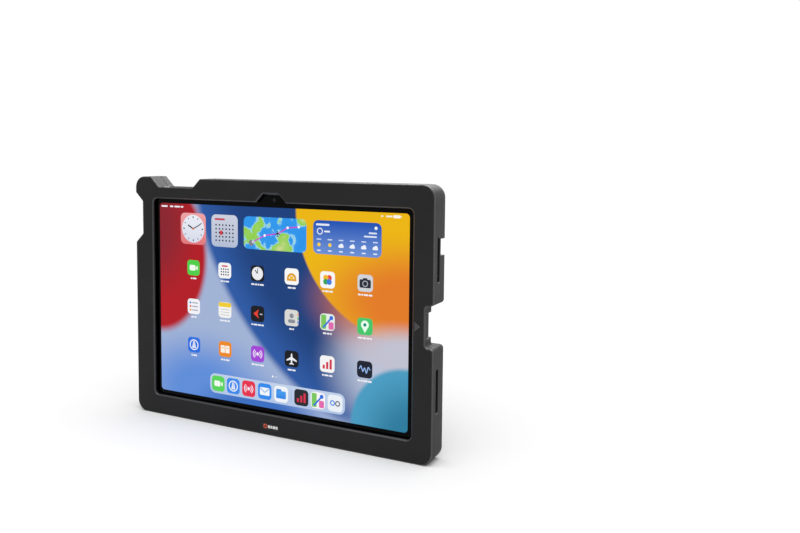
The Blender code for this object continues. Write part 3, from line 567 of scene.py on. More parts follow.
@dataclass(frozen=True)
class Finish:
    """A surface: what it is called, its colour, and a grain and a mottling at real sizes."""

    name: str
    colour: str
    roughness: float
    metallic: float = 0.0
    ior: float = 1.5
    specular: float = 0.5
    shade: str = ""
    mottle: float = 6.0
    grain: float = 0.3
    relief: float = 0.01
    stretch: tuple[float, float, float] = (1.0, 1.0, 1.0)
    rough_swing: float = 0.06

    def make(self) -> Material:
        """Makes the material.

        Returns:
            A Principled material with the finish's pattern in it.
        """
        material = bpy.data.materials.new(self.name)
        material.use_nodes = True
        tree = material.node_tree
        shader = tree.nodes["Principled BSDF"]
        coat = Coat(tree, shader, add(tree, "ShaderNodeTexCoord").outputs["Object"])
        shader.inputs["Base Color"].default_value = linear(self.colour)
        shader.inputs["Roughness"].default_value = self.roughness
        shader.inputs["Metallic"].default_value = self.metallic
        if not self.metallic:
            shader.inputs["IOR"].default_value = self.ior
        shader.inputs["Specular IOR Level"].default_value = self.specular
        self.paint(coat)
        return material

    def noise(self, coat: Coat, size: float, detail: float) -> Socket:
        """Noise whose lumps are about a size in millimetres, drawn out by the finish's stretch.

        Args:
            coat: the material in the making.
            size: of the lumps.
            detail: octaves of finer noise.

        Returns:
            The noise, about 0 to 1.
        """
        scale = [1 / (size * MM * part) for part in self.stretch]
        spread = add(coat.tree, "ShaderNodeMapping", {"Vector": coat.where, "Scale": scale})
        lumps = add(coat.tree, "ShaderNodeTexNoise", {
            "Vector": spread.outputs[0], "Scale": 1.0, "Detail": detail})
        return lumps.outputs[0]

    def mix(self, coat: Coat, share: Socket) -> None:
        """Mixes the finish's two colours by a share of the second."""
        inks = {0: share, 6: linear(self.colour), 7: linear(self.shade)}
        coat.feed("Base Color", add(coat.tree, "ShaderNodeMix", inks, data_type="RGBA").outputs[2])

    def gloss(self, coat: Coat, share: Socket, swing: float, reach: tuple[float, float]) -> None:
        """Varies the roughness with a pattern.

        Args:
            coat: the material in the making.
            share: the pattern.
            swing: how much rougher it is at the pattern's high end.
            reach: the pattern's low and high end.
        """
        rough = add(coat.tree, "ShaderNodeMapRange", {
            "Value": share, "From Min": reach[0], "From Max": reach[1],
            "To Min": self.roughness - swing, "To Max": self.roughness + swing})
        coat.feed("Roughness", rough.outputs[0])

    def paint(self, coat: Coat) -> None:
        """Mottles the colour, varies the gloss and raises the grain.

        Args:
            coat: the material in the making.
        """
        self.mix(coat, self.noise(coat, self.mottle, 3.0))
        fine = self.noise(coat, self.grain, 2.0)
        self.gloss(coat, fine, self.rough_swing, (0.3, 0.7))
        coat.feed("Normal", coat.bump(fine, self.relief))


@dataclass(frozen=True)
class MilledPlastic(Finish):
    """Milled acetal with faint overlapping tool passes, drawn wider than their real 0.4 mm to show."""

    tool_pass: float = 2.2
    pass_relief: float = 0.0012

    def paint(self, coat: Coat) -> None:
        """Adds the tool passes under the grain.

        Args:
            coat: the material in the making.
        """
        tree = coat.tree
        clouds = self.noise(coat, self.mottle, 4.0)
        passes = add(tree, "ShaderNodeTexWave", {
            "Vector": coat.where, "Scale": WAVE / (self.tool_pass * MM), "Distortion": 0.6, "Detail": 1.0,
            "Detail Scale": 0.4}, wave_type="BANDS", bands_direction="Z").outputs["Fac"]
        blend = add(tree, "ShaderNodeMapRange", {"Value": passes, "To Min": -0.05, "To Max": 0.05})
        level = add(
            tree, "ShaderNodeMath", {0: clouds, 1: blend.outputs[0]}, operation="ADD", use_clamp=True)
        self.mix(coat, level.outputs[0])
        self.gloss(coat, level.outputs[0], -self.rough_swing, (0.2, 0.8))
        swept = coat.bump(passes, self.pass_relief)
        coat.feed("Normal", coat.bump(self.noise(coat, self.grain, 2.0), self.relief, swept))


@dataclass(frozen=True)
class LitInk(Finish):
    """A lit area of the screen, with its colour on the mesh, dimmed a little by the screen's rows."""

    glow: float = 0.97
    row: float = 0.5

    def colour_socket(self, coat: Coat) -> Socket:
        """Colour that the mesh carries."""
        return add(coat.tree, "ShaderNodeAttribute", attribute_name=INK).outputs["Color"]

    def paint(self, coat: Coat) -> None:
        """Feeds the colour to the surface's light.

        Args:
            coat: the material in the making.
        """
        tree = coat.tree
        rows = add(tree, "ShaderNodeTexWave", {
            "Vector": coat.where, "Scale": WAVE / (self.row * MM)}, wave_type="BANDS", bands_direction="Z")
        dim = add(tree, "ShaderNodeMapRange", {"Value": rows.outputs["Fac"], "To Min": 0.985, "To Max": 1.0})
        lit = add(
            tree, "ShaderNodeVectorMath", {0: self.colour_socket(coat), 1: dim.outputs[0]},
            operation="MULTIPLY")
        coat.feed("Emission Color", lit.outputs[0])
        coat.shader.inputs["Emission Strength"].default_value = self.glow


@dataclass(frozen=True)
class Lobe:
    """A soft-edged oval of the wallpaper, from the screen's middle, in millimetres."""

    across: float
    up: float
    wide: float
    tall: float
    lean: float
    soft: float
    colour: str


@dataclass(frozen=True)
class WallpaperInk(LitInk):
    """The screen's wallpaper: soft ovals laid on each other."""

    middle: Vector = field(default_factory=Vector)
    ground: str = "#a3b5d8"
    lobes: tuple[Lobe, ...] = ()

    def colour_socket(self, coat: Coat) -> Socket:
        """Lays the ovals on the ground colour.

        Args:
            coat: the material in the making.

        Returns:
            The mixed colour.
        """
        tree = coat.tree
        ground = add(tree, "ShaderNodeRGB")
        ground.outputs[0].default_value = linear(self.ground)
        colour = ground.outputs[0]
        for lobe in self.lobes:
            centre = self.middle + Vector((lobe.across, 0.0, lobe.up)) * MM
            local = add(tree, "ShaderNodeMapping", {
                "Vector": coat.where, "Location": centre, "Rotation": (0.0, math.radians(lobe.lean), 0.0),
                "Scale": (lobe.wide * MM, 1.0, lobe.tall * MM)}, vector_type="TEXTURE")
            flat = add(
                tree, "ShaderNodeVectorMath", {0: local.outputs[0], 1: (1.0, 0.0, 1.0)},
                operation="MULTIPLY")
            reach = add(tree, "ShaderNodeVectorMath", {0: flat.outputs[0]}, operation="LENGTH")
            inside = add(tree, "ShaderNodeMapRange", {
                "Value": reach.outputs["Value"], "From Min": 1.0 - lobe.soft, "From Max": 1.0 + lobe.soft,
                "To Min": 1.0, "To Max": 0.0}, interpolation_type="SMOOTHSTEP")
            inks = {0: inside.outputs[0], 6: colour, 7: linear(lobe.colour)}
            colour = add(tree, "ShaderNodeMix", inks, data_type="RGBA").outputs[2]
        return colour


@dataclass(frozen=True)
class ChartInk(LitInk):
    """A chart on the screen: sea, shallows, coast and high ground out of one slow noise."""

    land: float = 17.0
    levels: tuple[tuple[float, str], ...] = (
        (0.0, "#0f7be6"), (0.47, "#2f9bf0"), (0.50, "#a8e0ee"), (0.515, "#8fd24a"), (0.60, "#a9d66e"),
        (0.68, "#d9dc9a"), (0.76, "#c9b98a"),
    )

    def colour_socket(self, coat: Coat) -> Socket:
        """Turns heights into map colours.

        Args:
            coat: the material in the making.

        Returns:
            The chart's colour.
        """
        ramp = add(coat.tree, "ShaderNodeValToRGB", {"Fac": self.noise(coat, self.land, 5.0)})
        steps = ramp.color_ramp.elements
        while len(steps) < len(self.levels):
            steps.new(1.0)
        for step, (at, code) in zip(steps, self.levels):
            step.position = at
            step.color = linear(code)
        return ramp.outputs["Color"]


@dataclass(frozen=True)
class CircuitLacquer(Finish):
    """Green board lacquer with paler copper runs under it."""

    run: float = 1.6

    def paint(self, coat: Coat) -> None:
        """Draws the copper runs as a brick pattern.

        Args:
            coat: the material in the making.
        """
        turned = add(coat.tree, "ShaderNodeMapping", {
            "Vector": coat.where, "Rotation": (math.pi / 2, 0.0, 0.0)})
        runs = add(coat.tree, "ShaderNodeTexBrick", {
            "Vector": turned.outputs[0], "Color1": linear(self.colour), "Color2": linear(self.colour),
            "Mortar": linear(self.shade), "Scale": 1 / (self.run * MM), "Mortar Size": 0.06})
        coat.feed("Base Color", runs.outputs["Color"])
        coat.feed("Normal", coat.bump(runs.outputs["Fac"], self.relief))


class Stock:
    """Every finish, made once. Each comment says what the real surface gives the eye."""

    def __init__(self, screen_middle: Vector) -> None:
        """Makes the materials.

        Args:
            screen_middle: middle of the lit area, in metres.
        """
        plans: dict[str, Finish] = {
            # Milled black acetal: soft satin, a little greyer where the cutter skimmed it.
            "acetal": MilledPlastic(
                "milled black acetal", "#242425", 0.5, ior=1.48, specular=0.1, shade="#2b2b2c",
                mottle=26.0, grain=0.35, relief=0.012, rough_swing=0.05),
            # Edges broken with a chamfer cutter: smoother, and given a paler colour that is a painted
            # highlight, so they draw a thin light line.
            "acetal_edge": MilledPlastic(
                "milled black acetal, broken edge", "#3a3a3c", 0.36, ior=1.48, specular=0.35,
                shade="#444446", mottle=9.0, grain=0.4, relief=0.006, rough_swing=0.04),
            # Black oxide on alloy steel: near black, oily satin, glints on edges.
            "black_oxide": Finish(
                "black oxide on alloy steel", "#0d0d0e", 0.36, 0.6, shade="#171716", mottle=2.0,
                grain=0.2),
            # Turned brass: warm yellow with fine turning lines.
            "brass": Finish(
                "turned brass", "#c9a25a", 0.3, 1.0, shade="#b58a45", mottle=3.0, grain=0.25,
                stretch=(1.0, 0.3, 1.0)),
            # Ground steel with lengthwise brushing, its colour darkened as painted shade of the hole it sits
            # in.
            "ground_steel": Finish(
                "oiled ground steel", "#2c2d2f", 0.34, 1.0, shade="#3a3b3d", mottle=2.5, grain=0.12,
                stretch=(1.0, 8.0, 1.0)),
            # Bead-blasted, clear-anodised aluminium: even silver grey, no direction.
            "anodised": Finish(
                "bead-blasted anodised aluminium", "#505153", 0.42, 1.0, shade="#494a4c",
                mottle=14.0, grain=0.22, relief=0.008),
            # Back-printed black border under coated glass: deep black with a clean faint reflection.
            "glass_ink": Finish(
                "black ink under coated glass", "#010101", 0.07, specular=0.05, shade="#020203",
                mottle=40.0, grain=8.0, relief=0.0005, rough_swing=0.015),
            # Camera glass: coated, blue-black, very glossy.
            "lens": Finish(
                "coated camera glass", "#030306", 0.05, specular=0.2, shade="#07080f", mottle=3.0,
                grain=2.0, relief=0.0005, rough_swing=0.02),
            # Closed-cell foam: dull charcoal with small pores.
            "foam": Finish(
                "closed-cell neoprene foam", "#1a1a1b", 0.92, specular=0.2, shade="#242426",
                mottle=2.0, grain=0.5, relief=0.05),
            # White vinyl: slightly soft white with a satin laminate.
            "vinyl": Finish(
                "white vinyl label", "#9b9b99", 0.45, specular=0.3, shade="#939390", mottle=8.0,
                grain=0.6, relief=0.004),
            # Thermal print on the vinyl: flat dark grey.
            "print": Finish(
                "black thermal print", "#121214", 0.6, specular=0.2, shade="#1a1a1c", mottle=1.2,
                grain=0.3),
            # Badge ground: black polycarbonate film.
            "film": Finish(
                "black polycarbonate film", "#0e0e10", 0.28, shade="#141416", mottle=3.0, grain=0.4,
                relief=0.003),
            "film_orange": Finish(
                "orange screen print", "#e2501c", 0.38, shade="#d14413", mottle=1.5, grain=0.3,
                relief=0.003),
            "film_white": Finish(
                "white screen print", "#ededea", 0.38, shade="#dededb", mottle=1.5, grain=0.3,
                relief=0.003),
            # Grey pad print: a dull grey a shade above the acetal.
            "pad_print": Finish(
                "grey pad print", "#3a3a3d", 0.62, shade="#444447", mottle=2.0, grain=0.25,
                relief=0.006),
            # Laser-cut speaker holes drawn as flat, dark, dull discs: partly the dark mesh behind them,
            # partly painted shade of the holes' depth.
            "pit": Finish(
                "dark acoustic mesh", "#08080a", 0.8, specular=0.2, shade="#101012", mottle=0.6,
                grain=0.2),
            "panel_back": Finish(
                "bonded panel frame", "#2a2b2e", 0.4, 0.6, shade="#36373a", mottle=10.0, grain=0.4),
            "battery": Finish(
                "black battery wrap", "#1d1e22", 0.42, shade="#27282d", mottle=12.0, grain=1.2,
                relief=0.03),
            "board": CircuitLacquer(
                "green board lacquer", "#0d3b22", 0.35, shade="#2c6a3c", relief=0.02),
            "tinned": Finish(
                "tinned steel", "#b4b5b6", 0.33, 1.0, shade="#a1a2a4", mottle=4.0, grain=0.3),
            "moulded": Finish(
                "moulded black plastic", "#151517", 0.5, shade="#1c1c1e", mottle=3.0, grain=0.3),
            # Lit screen areas: pure light under the laminated glass, hardly any reflection.
            "lit": LitInk("lit screen ink", "#020203", 0.3, specular=0.1),
            "chart": ChartInk("lit moving chart", "#020203", 0.3, specular=0.1),
            "wallpaper": WallpaperInk(
                "lit wallpaper", "#020203", 0.3, specular=0.1, middle=screen_middle,
                lobes=WALLPAPER),
            # Seamless studio paper: matt, very slightly mottled.
            "paper": Finish(
                "seamless studio paper", "#f4f4f4", 0.95, specular=0.1, shade="#efefef",
                mottle=400.0, grain=4.0, relief=0.02, rough_swing=0.02),
        }
        self.made = {key: plan.make() for key, plan in plans.items()}

    def __getitem__(self, key: str) -> Material:
        """The material of that short name."""
        return self.made[key]

    def acetal_pair(self) -> list[Material]:
        """Milled faces and broken edges with their paler painted highlight, in the order that the shells
        use.
        """
        return [self["acetal"], self["acetal_edge"]]


WALLPAPER = (
    Lobe(-70.0, -74.0, 56.0, 36.0, 0.0, 0.6, "#5f8edb"),
    Lobe(-14.0, -90.0, 52.0, 26.0, 0.0, 0.45, "#3a6fc4"),
    Lobe(16.0, 28.0, 60.0, 128.0, -38.0, 0.07, "#2a5aa6"),
    Lobe(22.0, 34.0, 48.0, 112.0, -38.0, 0.4, "#173f7d"),
    Lobe(112.0, -34.0, 54.0, 44.0, 0.0, 0.5, "#bac5dd"),
    Lobe(113.5, 78.9, 94.0, 94.0, 0.0, 0.012, "#efb804"),
    Lobe(116.0, 14.0, 62.0, 34.0, 0.0, 0.6, "#e67c22"),
    Lobe(118.0, -22.0, 44.0, 16.0, 0.0, 0.6, "#c3c4d4"),
    Lobe(-116.0, 36.0, 50.0, 64.0, 0.0, 0.07, "#b4121f"),
    Lobe(-122.0, 60.0, 34.0, 44.0, 0.0, 0.6, "#8c1f2c"),
    Lobe(113.5, -78.9, 46.0, 46.0, 0.0, 0.05, "#4a9ec4"),
    Lobe(120.0, -84.0, 34.0, 34.0, 0.0, 0.6, "#2b7da0"),
)


# Places.
@dataclass(frozen=True)
class Layout:
    """Planes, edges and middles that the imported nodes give, in millimetres."""

    left: float
    right: float
    top: float
    front: float
    back: float
    split_near: float
    split_far: float
    tablet_low: Vector
    tablet_high: Vector
    glass_front: float
    screws: tuple[Vector, ...]
    inserts: tuple[Vector, ...]

    @staticmethod
    def span(node: str) -> tuple[Vector, Vector]:
        """Lowest and highest corner of a node."""
        low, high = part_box(node)
        return low / MM, high / MM

    @classmethod
    def middle(cls, node: str) -> Vector:
        """Middle of a node's box."""
        low, high = cls.span(node)
        return (low + high) / 2

    @classmethod
    def read(cls, ear_rise: float) -> "Layout":
        """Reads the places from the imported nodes.

        Args:
            ear_rise: how far the raised corner stands above the top edge.

        Returns:
            The layout.
        """
        front_low, front_high = cls.span("front_shell")
        rear_low, rear_high = cls.span("rear_shell")
        tablet_low, tablet_high = cls.span("tablet_housing")
        numbers = range(1, SCREWS + 1)
        return cls(
            left=front_low.x, right=front_high.x, top=front_high.z - ear_rise,
            front=front_low.y, back=rear_high.y,
            split_near=front_high.y, split_far=rear_low.y, tablet_low=tablet_low, tablet_high=tablet_high,
            glass_front=cls.span("cover_glass")[0].y,
            screws=tuple(cls.middle(f"case_screw_{n:02d}") for n in numbers),
            inserts=tuple(cls.middle(f"threaded_insert_{n:02d}") for n in numbers),
        )

    @property
    def tablet_middle(self) -> Vector:
        """Middle of the tablet."""
        return (self.tablet_low + self.tablet_high) / 2


@dataclass
class Assembly:
    """What every sub-assembly has: the places, the finishes and the repeating trees."""

    layout: Layout
    stock: Stock
    repeater: Repeater

    def place(
        self, made: Object, slot: str, replaced: Sequence[str] = (), body: Body = Body.CASE
    ) -> Object:
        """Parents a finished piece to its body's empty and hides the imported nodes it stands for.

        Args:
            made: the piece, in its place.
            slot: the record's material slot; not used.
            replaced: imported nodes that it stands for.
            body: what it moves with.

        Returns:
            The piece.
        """
        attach(made, body.value)
        if replaced:
            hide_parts(*replaced)
        log.info("%s: %d faces on %s", made.name, len(made.data.polygons), body.value)
        return made

    def dress(self, node: str, finish: str) -> None:
        """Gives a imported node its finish."""
        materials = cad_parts[node].data.materials
        materials.clear()
        materials.append(self.stock[finish])
        log.info("%s: dressed in %s", node, self.stock[finish].name)


# The case.
@dataclass
class CaseShells(Assembly):
    """Both milled halves of the case, with every edge broken as the cutter leaves it."""

    corner: float = 9.5
    edge: float = 0.8
    ear_rise: float = 1.0
    ear_radius: float = 9.0
    notch_radius: float = 1.6
    power_from_corner: float = 1.25
    power_half: float = 9.75
    power_room: float = 3.85
    power_wall: float = 4.8
    volume_half: float = 13.25
    volume_room: float = 4.25
    volume_wall: float = 2.45
    port_half: float = 15.0
    port_wall: float = 3.1
    port_outer: float = 2.8
    port_inner: float = 2.5
    rear_overlap: float = 1.4
    pocket_fit: float = 0.5
    tablet_corner: float = 12.0
    lip: float = 2.7
    panel_border: float = 2.0
    window_past_x: float = 4.25
    window_past_z: float = 3.8
    window_corner: float = 4.0
    window_chamfer: float = 0.9
    bay_foot: float = 13.8
    bay_head: float = 7.3
    bay_rise: float = 6.9
    bay_radius: float = 1.8
    finger_margin: float = 2.4
    finger_into_rear: float = 0.7
    slot_width: float = 4.8
    slot_depth: float = 8.6
    small_break: float = 0.35
    seat_break: float = 0.1
    port_cut_half: float = 9.0
    port_cut_radius: float = 0.6
    counterbore: float = 3.1
    shank_hole: float = 1.55
    dowel_hole: float = 1.6
    insert_hole: float = 2.3
    trough_length: float = 71.0
    trough_width: float = 15.8
    trough_depth: float = 5.6
    trough_end: float = 5.2
    trough_from_top: float = 18.9
    side_trough_from_middle: float = 79.8
    field_half: float = 30.8
    field_right: float = 115.2
    field_left: float = 69.3
    field_depth: float = 1.2
    field_radius: float = 6.0
    pocket_half: float = 18.2
    pocket_depth: float = 5.0
    pocket_radius: float = 3.2
    adapter_right: float = 19.6
    adapter_left: float = 60.0
    bay_length: float = 52.0
    bay_rim: float = 1.5
    lens_hole: float = 9.4
    lens_flare: float = 2.6
    lens_flare_depth: float = 4.2
    tail_length: float = 20.0
    tail_radius: float = 1.6
    tether_notch_depth: float = 3.5
    tether_notch_half: float = 6.0
    tether_notch_middle: float = 55.5
    tether_hole_half_width: float = 1.9
    tether_hole_half_length: float = 4.1
    tether_hole_middle: float = 45.6
    tether_hole_from_edge: float = 7.2
    tether_channel: float = 2.8

    def outline(self, port_floor: float, port_inner: float) -> list[Corner]:
        """Corners of a half, with its ear, its two finger notches and its port notch.

        Args:
            port_floor: where the port notch ends, across.
            port_inner: radius in the port notch's inner corners.

        Returns:
            Corners, anticlockwise from the bottom left.
        """
        at = self.layout
        middle = at.tablet_middle
        power = at.tablet_high.z - self.tablet_corner - self.power_from_corner - self.power_half
        power_low = power - self.power_half - self.power_room
        power_high = power + self.power_half + self.power_room
        power_x = at.tablet_low.x - self.pocket_fit - self.power_wall
        power_depth = power_x - at.left
        keys = [Layout.middle(f"volume_{way}_button").x for way in ("up", "down")]
        volume = sum(keys) / 2
        volume_low = volume - self.volume_half - self.volume_room
        volume_high = volume + self.volume_half + self.volume_room
        volume_z = at.tablet_high.z + self.pocket_fit + self.volume_wall
        volume_depth = at.top - volume_z
        raised = at.top + self.ear_rise
        return [
            (at.left, 0.0, self.corner),
            (at.right, 0.0, self.corner),
            (at.right, middle.z - self.port_half, self.port_outer),
            (port_floor, middle.z - self.port_half, port_inner),
            (port_floor, middle.z + self.port_half, port_inner),
            (at.right, middle.z + self.port_half, self.port_outer),
            (at.right, at.top, self.corner),
            (volume_high + volume_depth, at.top, self.notch_radius),
            (volume_high, volume_z, self.notch_radius),
            (volume_low, volume_z, self.notch_radius),
            (volume_low - volume_depth - self.ear_rise, raised, self.notch_radius),
            (at.left, raised, self.ear_radius),
            (at.left, power_high + power_depth, self.notch_radius),
            (power_x, power_high, self.notch_radius),
            (power_x, power_low, self.notch_radius),
            (at.left, power_low - power_depth, self.notch_radius),
        ]

    def window(self) -> list[Corner]:
        """Corners of the screen window, with the raised bay for the front camera."""
        panel_low, panel_high = Layout.span("display_panel")
        low_x = panel_low.x + self.panel_border - self.window_past_x
        high_x = panel_high.x - self.panel_border + self.window_past_x
        low_z = panel_low.z + self.panel_border - self.window_past_z
        high_z = panel_high.z - self.panel_border + self.window_past_z
        head_z = high_z + self.bay_rise
        return [
            (low_x, low_z, self.window_corner),
            (high_x, low_z, self.window_corner),
            (high_x, high_z, self.window_corner),
            (self.bay_foot, high_z, self.bay_radius),
            (self.bay_head, head_z, self.bay_radius),
            (-self.bay_head, head_z, self.bay_radius),
            (-self.bay_foot, high_z, self.bay_radius),
            (low_x, high_z, self.window_corner),
        ]

    def cutter(self, name: str, sections: Sequence[Section], axis: Axis = Axis.Y) -> Object:
        """Closed solid to take away, whose sloping bands leave a broken edge in the paler finish that paints
        a highlight.
        """
        return loft(name, sections, self.stock.acetal_pair(), axis)

    def corner_cut(
        self, name: str, corners: Sequence[Corner], floor: float, face: float, flare: float = 0.0,
        fillet: float = 0.0, axis: Axis = Axis.Y,
    ) -> Object:
        """Cut with an outline of rounded corners.

        Args:
            name: the cutter's name.
            corners: its outline's corners.
            floor: plane it starts from.
            face: plane it leaves by.
            flare: width of the broken edge.
            fillet: radius in the bottom corner.
            axis: direction of the cut.

        Returns:
            The cutter.
        """
        return self.cutter(name, mouth(growing(corners, 8), floor, face, flare, fillet), axis)

    def finger_cuts(self, tag: str) -> list[Object]:
        """Windows through the notch floors, down to the keys."""
        at = self.layout
        near = at.glass_front
        far = at.split_near + HALF_SPLIT + self.finger_into_rear
        power = Layout.middle("power_button").z
        half = self.power_half + self.finger_margin
        outer = at.tablet_low.x - self.pocket_fit - self.power_wall
        corners = box(near, far, power - half, power + half, self.notch_radius)
        power_cut = self.corner_cut(
            tag + "_power_cut", corners, at.tablet_low.x + PAST, outer, self.small_break, axis=Axis.X)
        keys = [Layout.middle(f"volume_{way}_button").x for way in ("up", "down")]
        volume = sum(keys) / 2
        half = self.volume_half + self.finger_margin
        outer = at.tablet_high.z + self.pocket_fit + self.volume_wall
        corners = box(volume - half, volume + half, near, far, self.notch_radius)
        volume_cut = self.corner_cut(
            tag + "_volume_cut", corners, at.tablet_high.z - PAST, outer, self.small_break, axis=Axis.Z)
        return [power_cut, volume_cut]

    def speaker_cuts(self) -> list[Object]:
        """Long slots through the side walls, in line with the speakers."""
        at = self.layout
        near = at.front + self.slot_depth - self.slot_width / 2
        cuts = []
        for tag in ("left_upper", "left_lower", "right_upper", "right_lower"):
            low, high = Layout.span("speaker_" + tag)
            corners = box(near, near + self.slot_width, low.z - 0.3, high.z + 0.3, self.notch_radius)
            inside = at.tablet_high.x - PAST if "right" in tag else at.tablet_low.x + PAST
            outside = at.right if "right" in tag else at.left
            cuts.append(self.corner_cut(
                tag + "_cut", corners, inside, outside, self.small_break, axis=Axis.X))
        return cuts

    def seat(self, name: str, node: str, corners: Sequence[Corner], steps: int) -> Object:
        """Shallow seat that lets a label or marking lie flush, with room round and under it.

        Args:
            name: the cutter's name.
            node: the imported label.
            corners: its outline's corners.
            steps: straight pieces in each round corner.

        Returns:
            The cutter.
        """
        low, high = Layout.span(node)
        in_front = low.y < 0
        floor = high.y + CLEARANCE if in_front else low.y - CLEARANCE
        face = self.layout.front if in_front else self.layout.back
        return self.cutter(name, mouth(growing(corners, steps, CLEARANCE), floor, face, self.seat_break))

    def build_front(self) -> None:
        """Makes the deep front half."""
        at = self.layout
        floor = at.tablet_high.x + self.pocket_fit + self.port_wall
        corners = self.outline(floor, self.port_inner)
        shape = growing(corners)
        back_edge = round_edge(shape, at.split_near, -1, 0.3, 1)
        sections = round_edge(shape, at.front, 1, self.edge) + list(reversed(back_edge))
        shell = loft("front_shell_milled", sections, self.stock.acetal_pair())
        low, high = at.tablet_low, at.tablet_high
        fit = self.pocket_fit
        pocket = box(low.x - fit, high.x + fit, low.z - fit, high.z + fit, self.tablet_corner + fit)
        lip_back = at.front + self.lip
        window = self.window()
        cuts = [
            self.corner_cut("pocket_cut", pocket, lip_back, at.split_near, 0.2),
            self.cutter("window_cut", [
                (rounded(window, self.window_chamfer + PAST, 8), at.front - PAST),
                (rounded(window, 0.0, 8), at.front + self.window_chamfer),
                (rounded(window, 0.0, 8), lip_back - 0.3),
                (rounded(window, 0.3, 8), lip_back),
                (rounded(window, 0.3, 8), lip_back + PAST),
            ]),
        ]
        cuts += self.finger_cuts("front") + self.speaker_cuts()
        port_low, port_high = Layout.span("charging_port")
        middle, half = (port_low.z + port_high.z) / 2, self.port_cut_half
        port = box(at.glass_front, at.split_near + PAST, middle - half, middle + half, self.port_cut_radius)
        cuts.append(self.corner_cut("port_cut", port, high.x - PAST, floor, self.small_break, axis=Axis.X))
        for number, place in enumerate(at.inserts, 1):
            nodes = (f"case_screw_{number:02d}", f"threaded_insert_{number:02d}")
            foot = min(Layout.span(node)[0].y for node in nodes)
            bore = mouth(round_hole(place, self.insert_hole), foot - CLEARANCE, at.split_near, 0.2)
            cuts.append(self.cutter(f"insert_cut_{number:02d}", bore))
        for tag in ("upper", "lower"):
            low, high = Layout.span("dowel_pin_" + tag)
            shape = round_hole((low + high) / 2, self.dowel_hole)
            bore = mouth(shape, low.y - CLEARANCE, at.split_near, 0.2)
            cuts.append(self.cutter(f"dowel_cut_{tag}", bore))
        badge = Trim.corners("front_badge", Trim.badge_radius)
        arrow = arrow_corners(*Layout.span("direction_arrow"))
        cuts.append(self.seat("front_badge_seat", "front_badge", badge, 6))
        cuts.append(self.seat("arrow_seat", "direction_arrow", arrow, 4))
        self.place(smoothed(carve(shell, cuts)), "case_acetal", ["front_shell"])

    def trough(self, name: str, centre_u: float, centre_v: float, along: Axis) -> Object:
        """Scooped cutter with an elliptical section and rounded ends.

        Args:
            name: the cutter's name.
            centre_u: middle across.
            centre_v: middle up.
            along: direction of its length, across or up.

        Returns:
            The cutter.
        """
        back = self.layout.back
        half_width = self.trough_width / 2
        arc = [math.pi * i / 24 for i in range(25)]
        ends = [math.pi / 2 * step / 6 for step in range(7)]
        stations = [(-1, angle) for angle in reversed(ends)] + [(1, angle) for angle in ends]
        sections: list[Section] = []
        for sign, angle in stations:
            less = self.trough_end * (1 - math.cos(angle))
            reach = self.trough_length / 2 - self.trough_end * (1 - math.sin(angle))
            width = half_width - less
            depth = self.trough_depth - less * self.trough_depth / half_width
            wide = width + self.small_break
            lip = [(-wide, back), (-wide, back + PAST), (wide, back + PAST), (wide, back)]
            profile = [(width * math.cos(a), back - 0.3 - (depth - 0.3) * math.sin(a)) for a in arc] + lip
            if along is Axis.X:
                sections.append(([(y, centre_v + across) for across, y in profile], centre_u + sign * reach))
            else:
                sections.append(([(centre_u + across, y) for across, y in profile], centre_v + sign * reach))
        return loft(name, sections, [self.stock["acetal"]], along)

    def lens_shape(self, grow: float) -> Outline:
        """Camera cut-out: round at the lens, with straight tangents to a small round tail."""
        lens = Layout.middle("camera_lens")
        lean = math.asin((self.lens_hole - self.tail_radius) / self.tail_length)
        start = math.pi / 2 - lean
        points: Outline = []
        for centre, radius, first, turn, steps in (
            (lens.x, self.lens_hole + grow, start, 2 * math.pi - 2 * start, 32),
            (lens.x + self.tail_length, self.tail_radius + grow, -start, 2 * start, 12),
        ):
            for step in range(steps + 1):
                angle = first + turn * step / steps
                points.append((centre + radius * math.cos(angle), lens.z + radius * math.sin(angle)))
        return points

    def field_cuts(self, notch_x: float) -> list[Object]:
        """Bracket field on the back, with the adapter pocket and the cable bay in it."""
        back = self.layout.back
        middle = self.layout.tablet_middle
        low, high = middle.z - self.field_half, middle.z + self.field_half
        outer = box(middle.x - self.field_left, middle.x + self.field_right, low, high, self.field_radius)
        cuts = [self.corner_cut("field_cut", outer, back - self.field_depth, back, 0.4, 0.5)]
        low, high = middle.z - self.pocket_half, middle.z + self.pocket_half
        bay = notch_x - self.bay_rim
        spans = {
            "adapter": (middle.x - self.adapter_left, middle.x + self.adapter_right),
            "cable": (bay - self.bay_length, bay),
        }
        for tag, (left, right) in spans.items():
            corners = box(left, right, low, high, self.pocket_radius)
            floor = back - self.pocket_depth
            cuts.append(self.corner_cut(tag + "_cut", corners, floor, back - self.field_depth, 0.5, 1.2))
        return cuts

    def tether_cuts(self) -> list[Object]:
        """Edge notch and slot, joined by a channel under a bar."""
        at = self.layout
        split = at.split_far - HALF_SPLIT
        middle = at.tablet_middle.z + self.tether_notch_middle
        half = self.tether_notch_half
        notch = box(at.right - self.tether_notch_depth, at.right + PAST, middle - half, middle + half, 1.0)
        hole_x = at.right - self.tether_hole_from_edge
        hole_z = at.tablet_middle.z + self.tether_hole_middle
        wide, long = self.tether_hole_half_width, self.tether_hole_half_length
        hole = box(hole_x - wide, hole_x + wide, hole_z - long, hole_z + long, wide - 0.05)
        channel = box(hole_x - wide, at.right - 2.1, hole_z, middle - half + 2 * wide, 0.8)
        return [
            self.corner_cut("tether_notch", notch, split - PAST, at.back, self.small_break),
            self.corner_cut("tether_hole", hole, split + self.tether_channel / 2, at.back, self.small_break),
            self.cutter("tether_channel", [
                (rounded(channel, 0.0, 8), split - PAST),
                (rounded(channel, 0.0, 8), split + self.tether_channel)]),
        ]

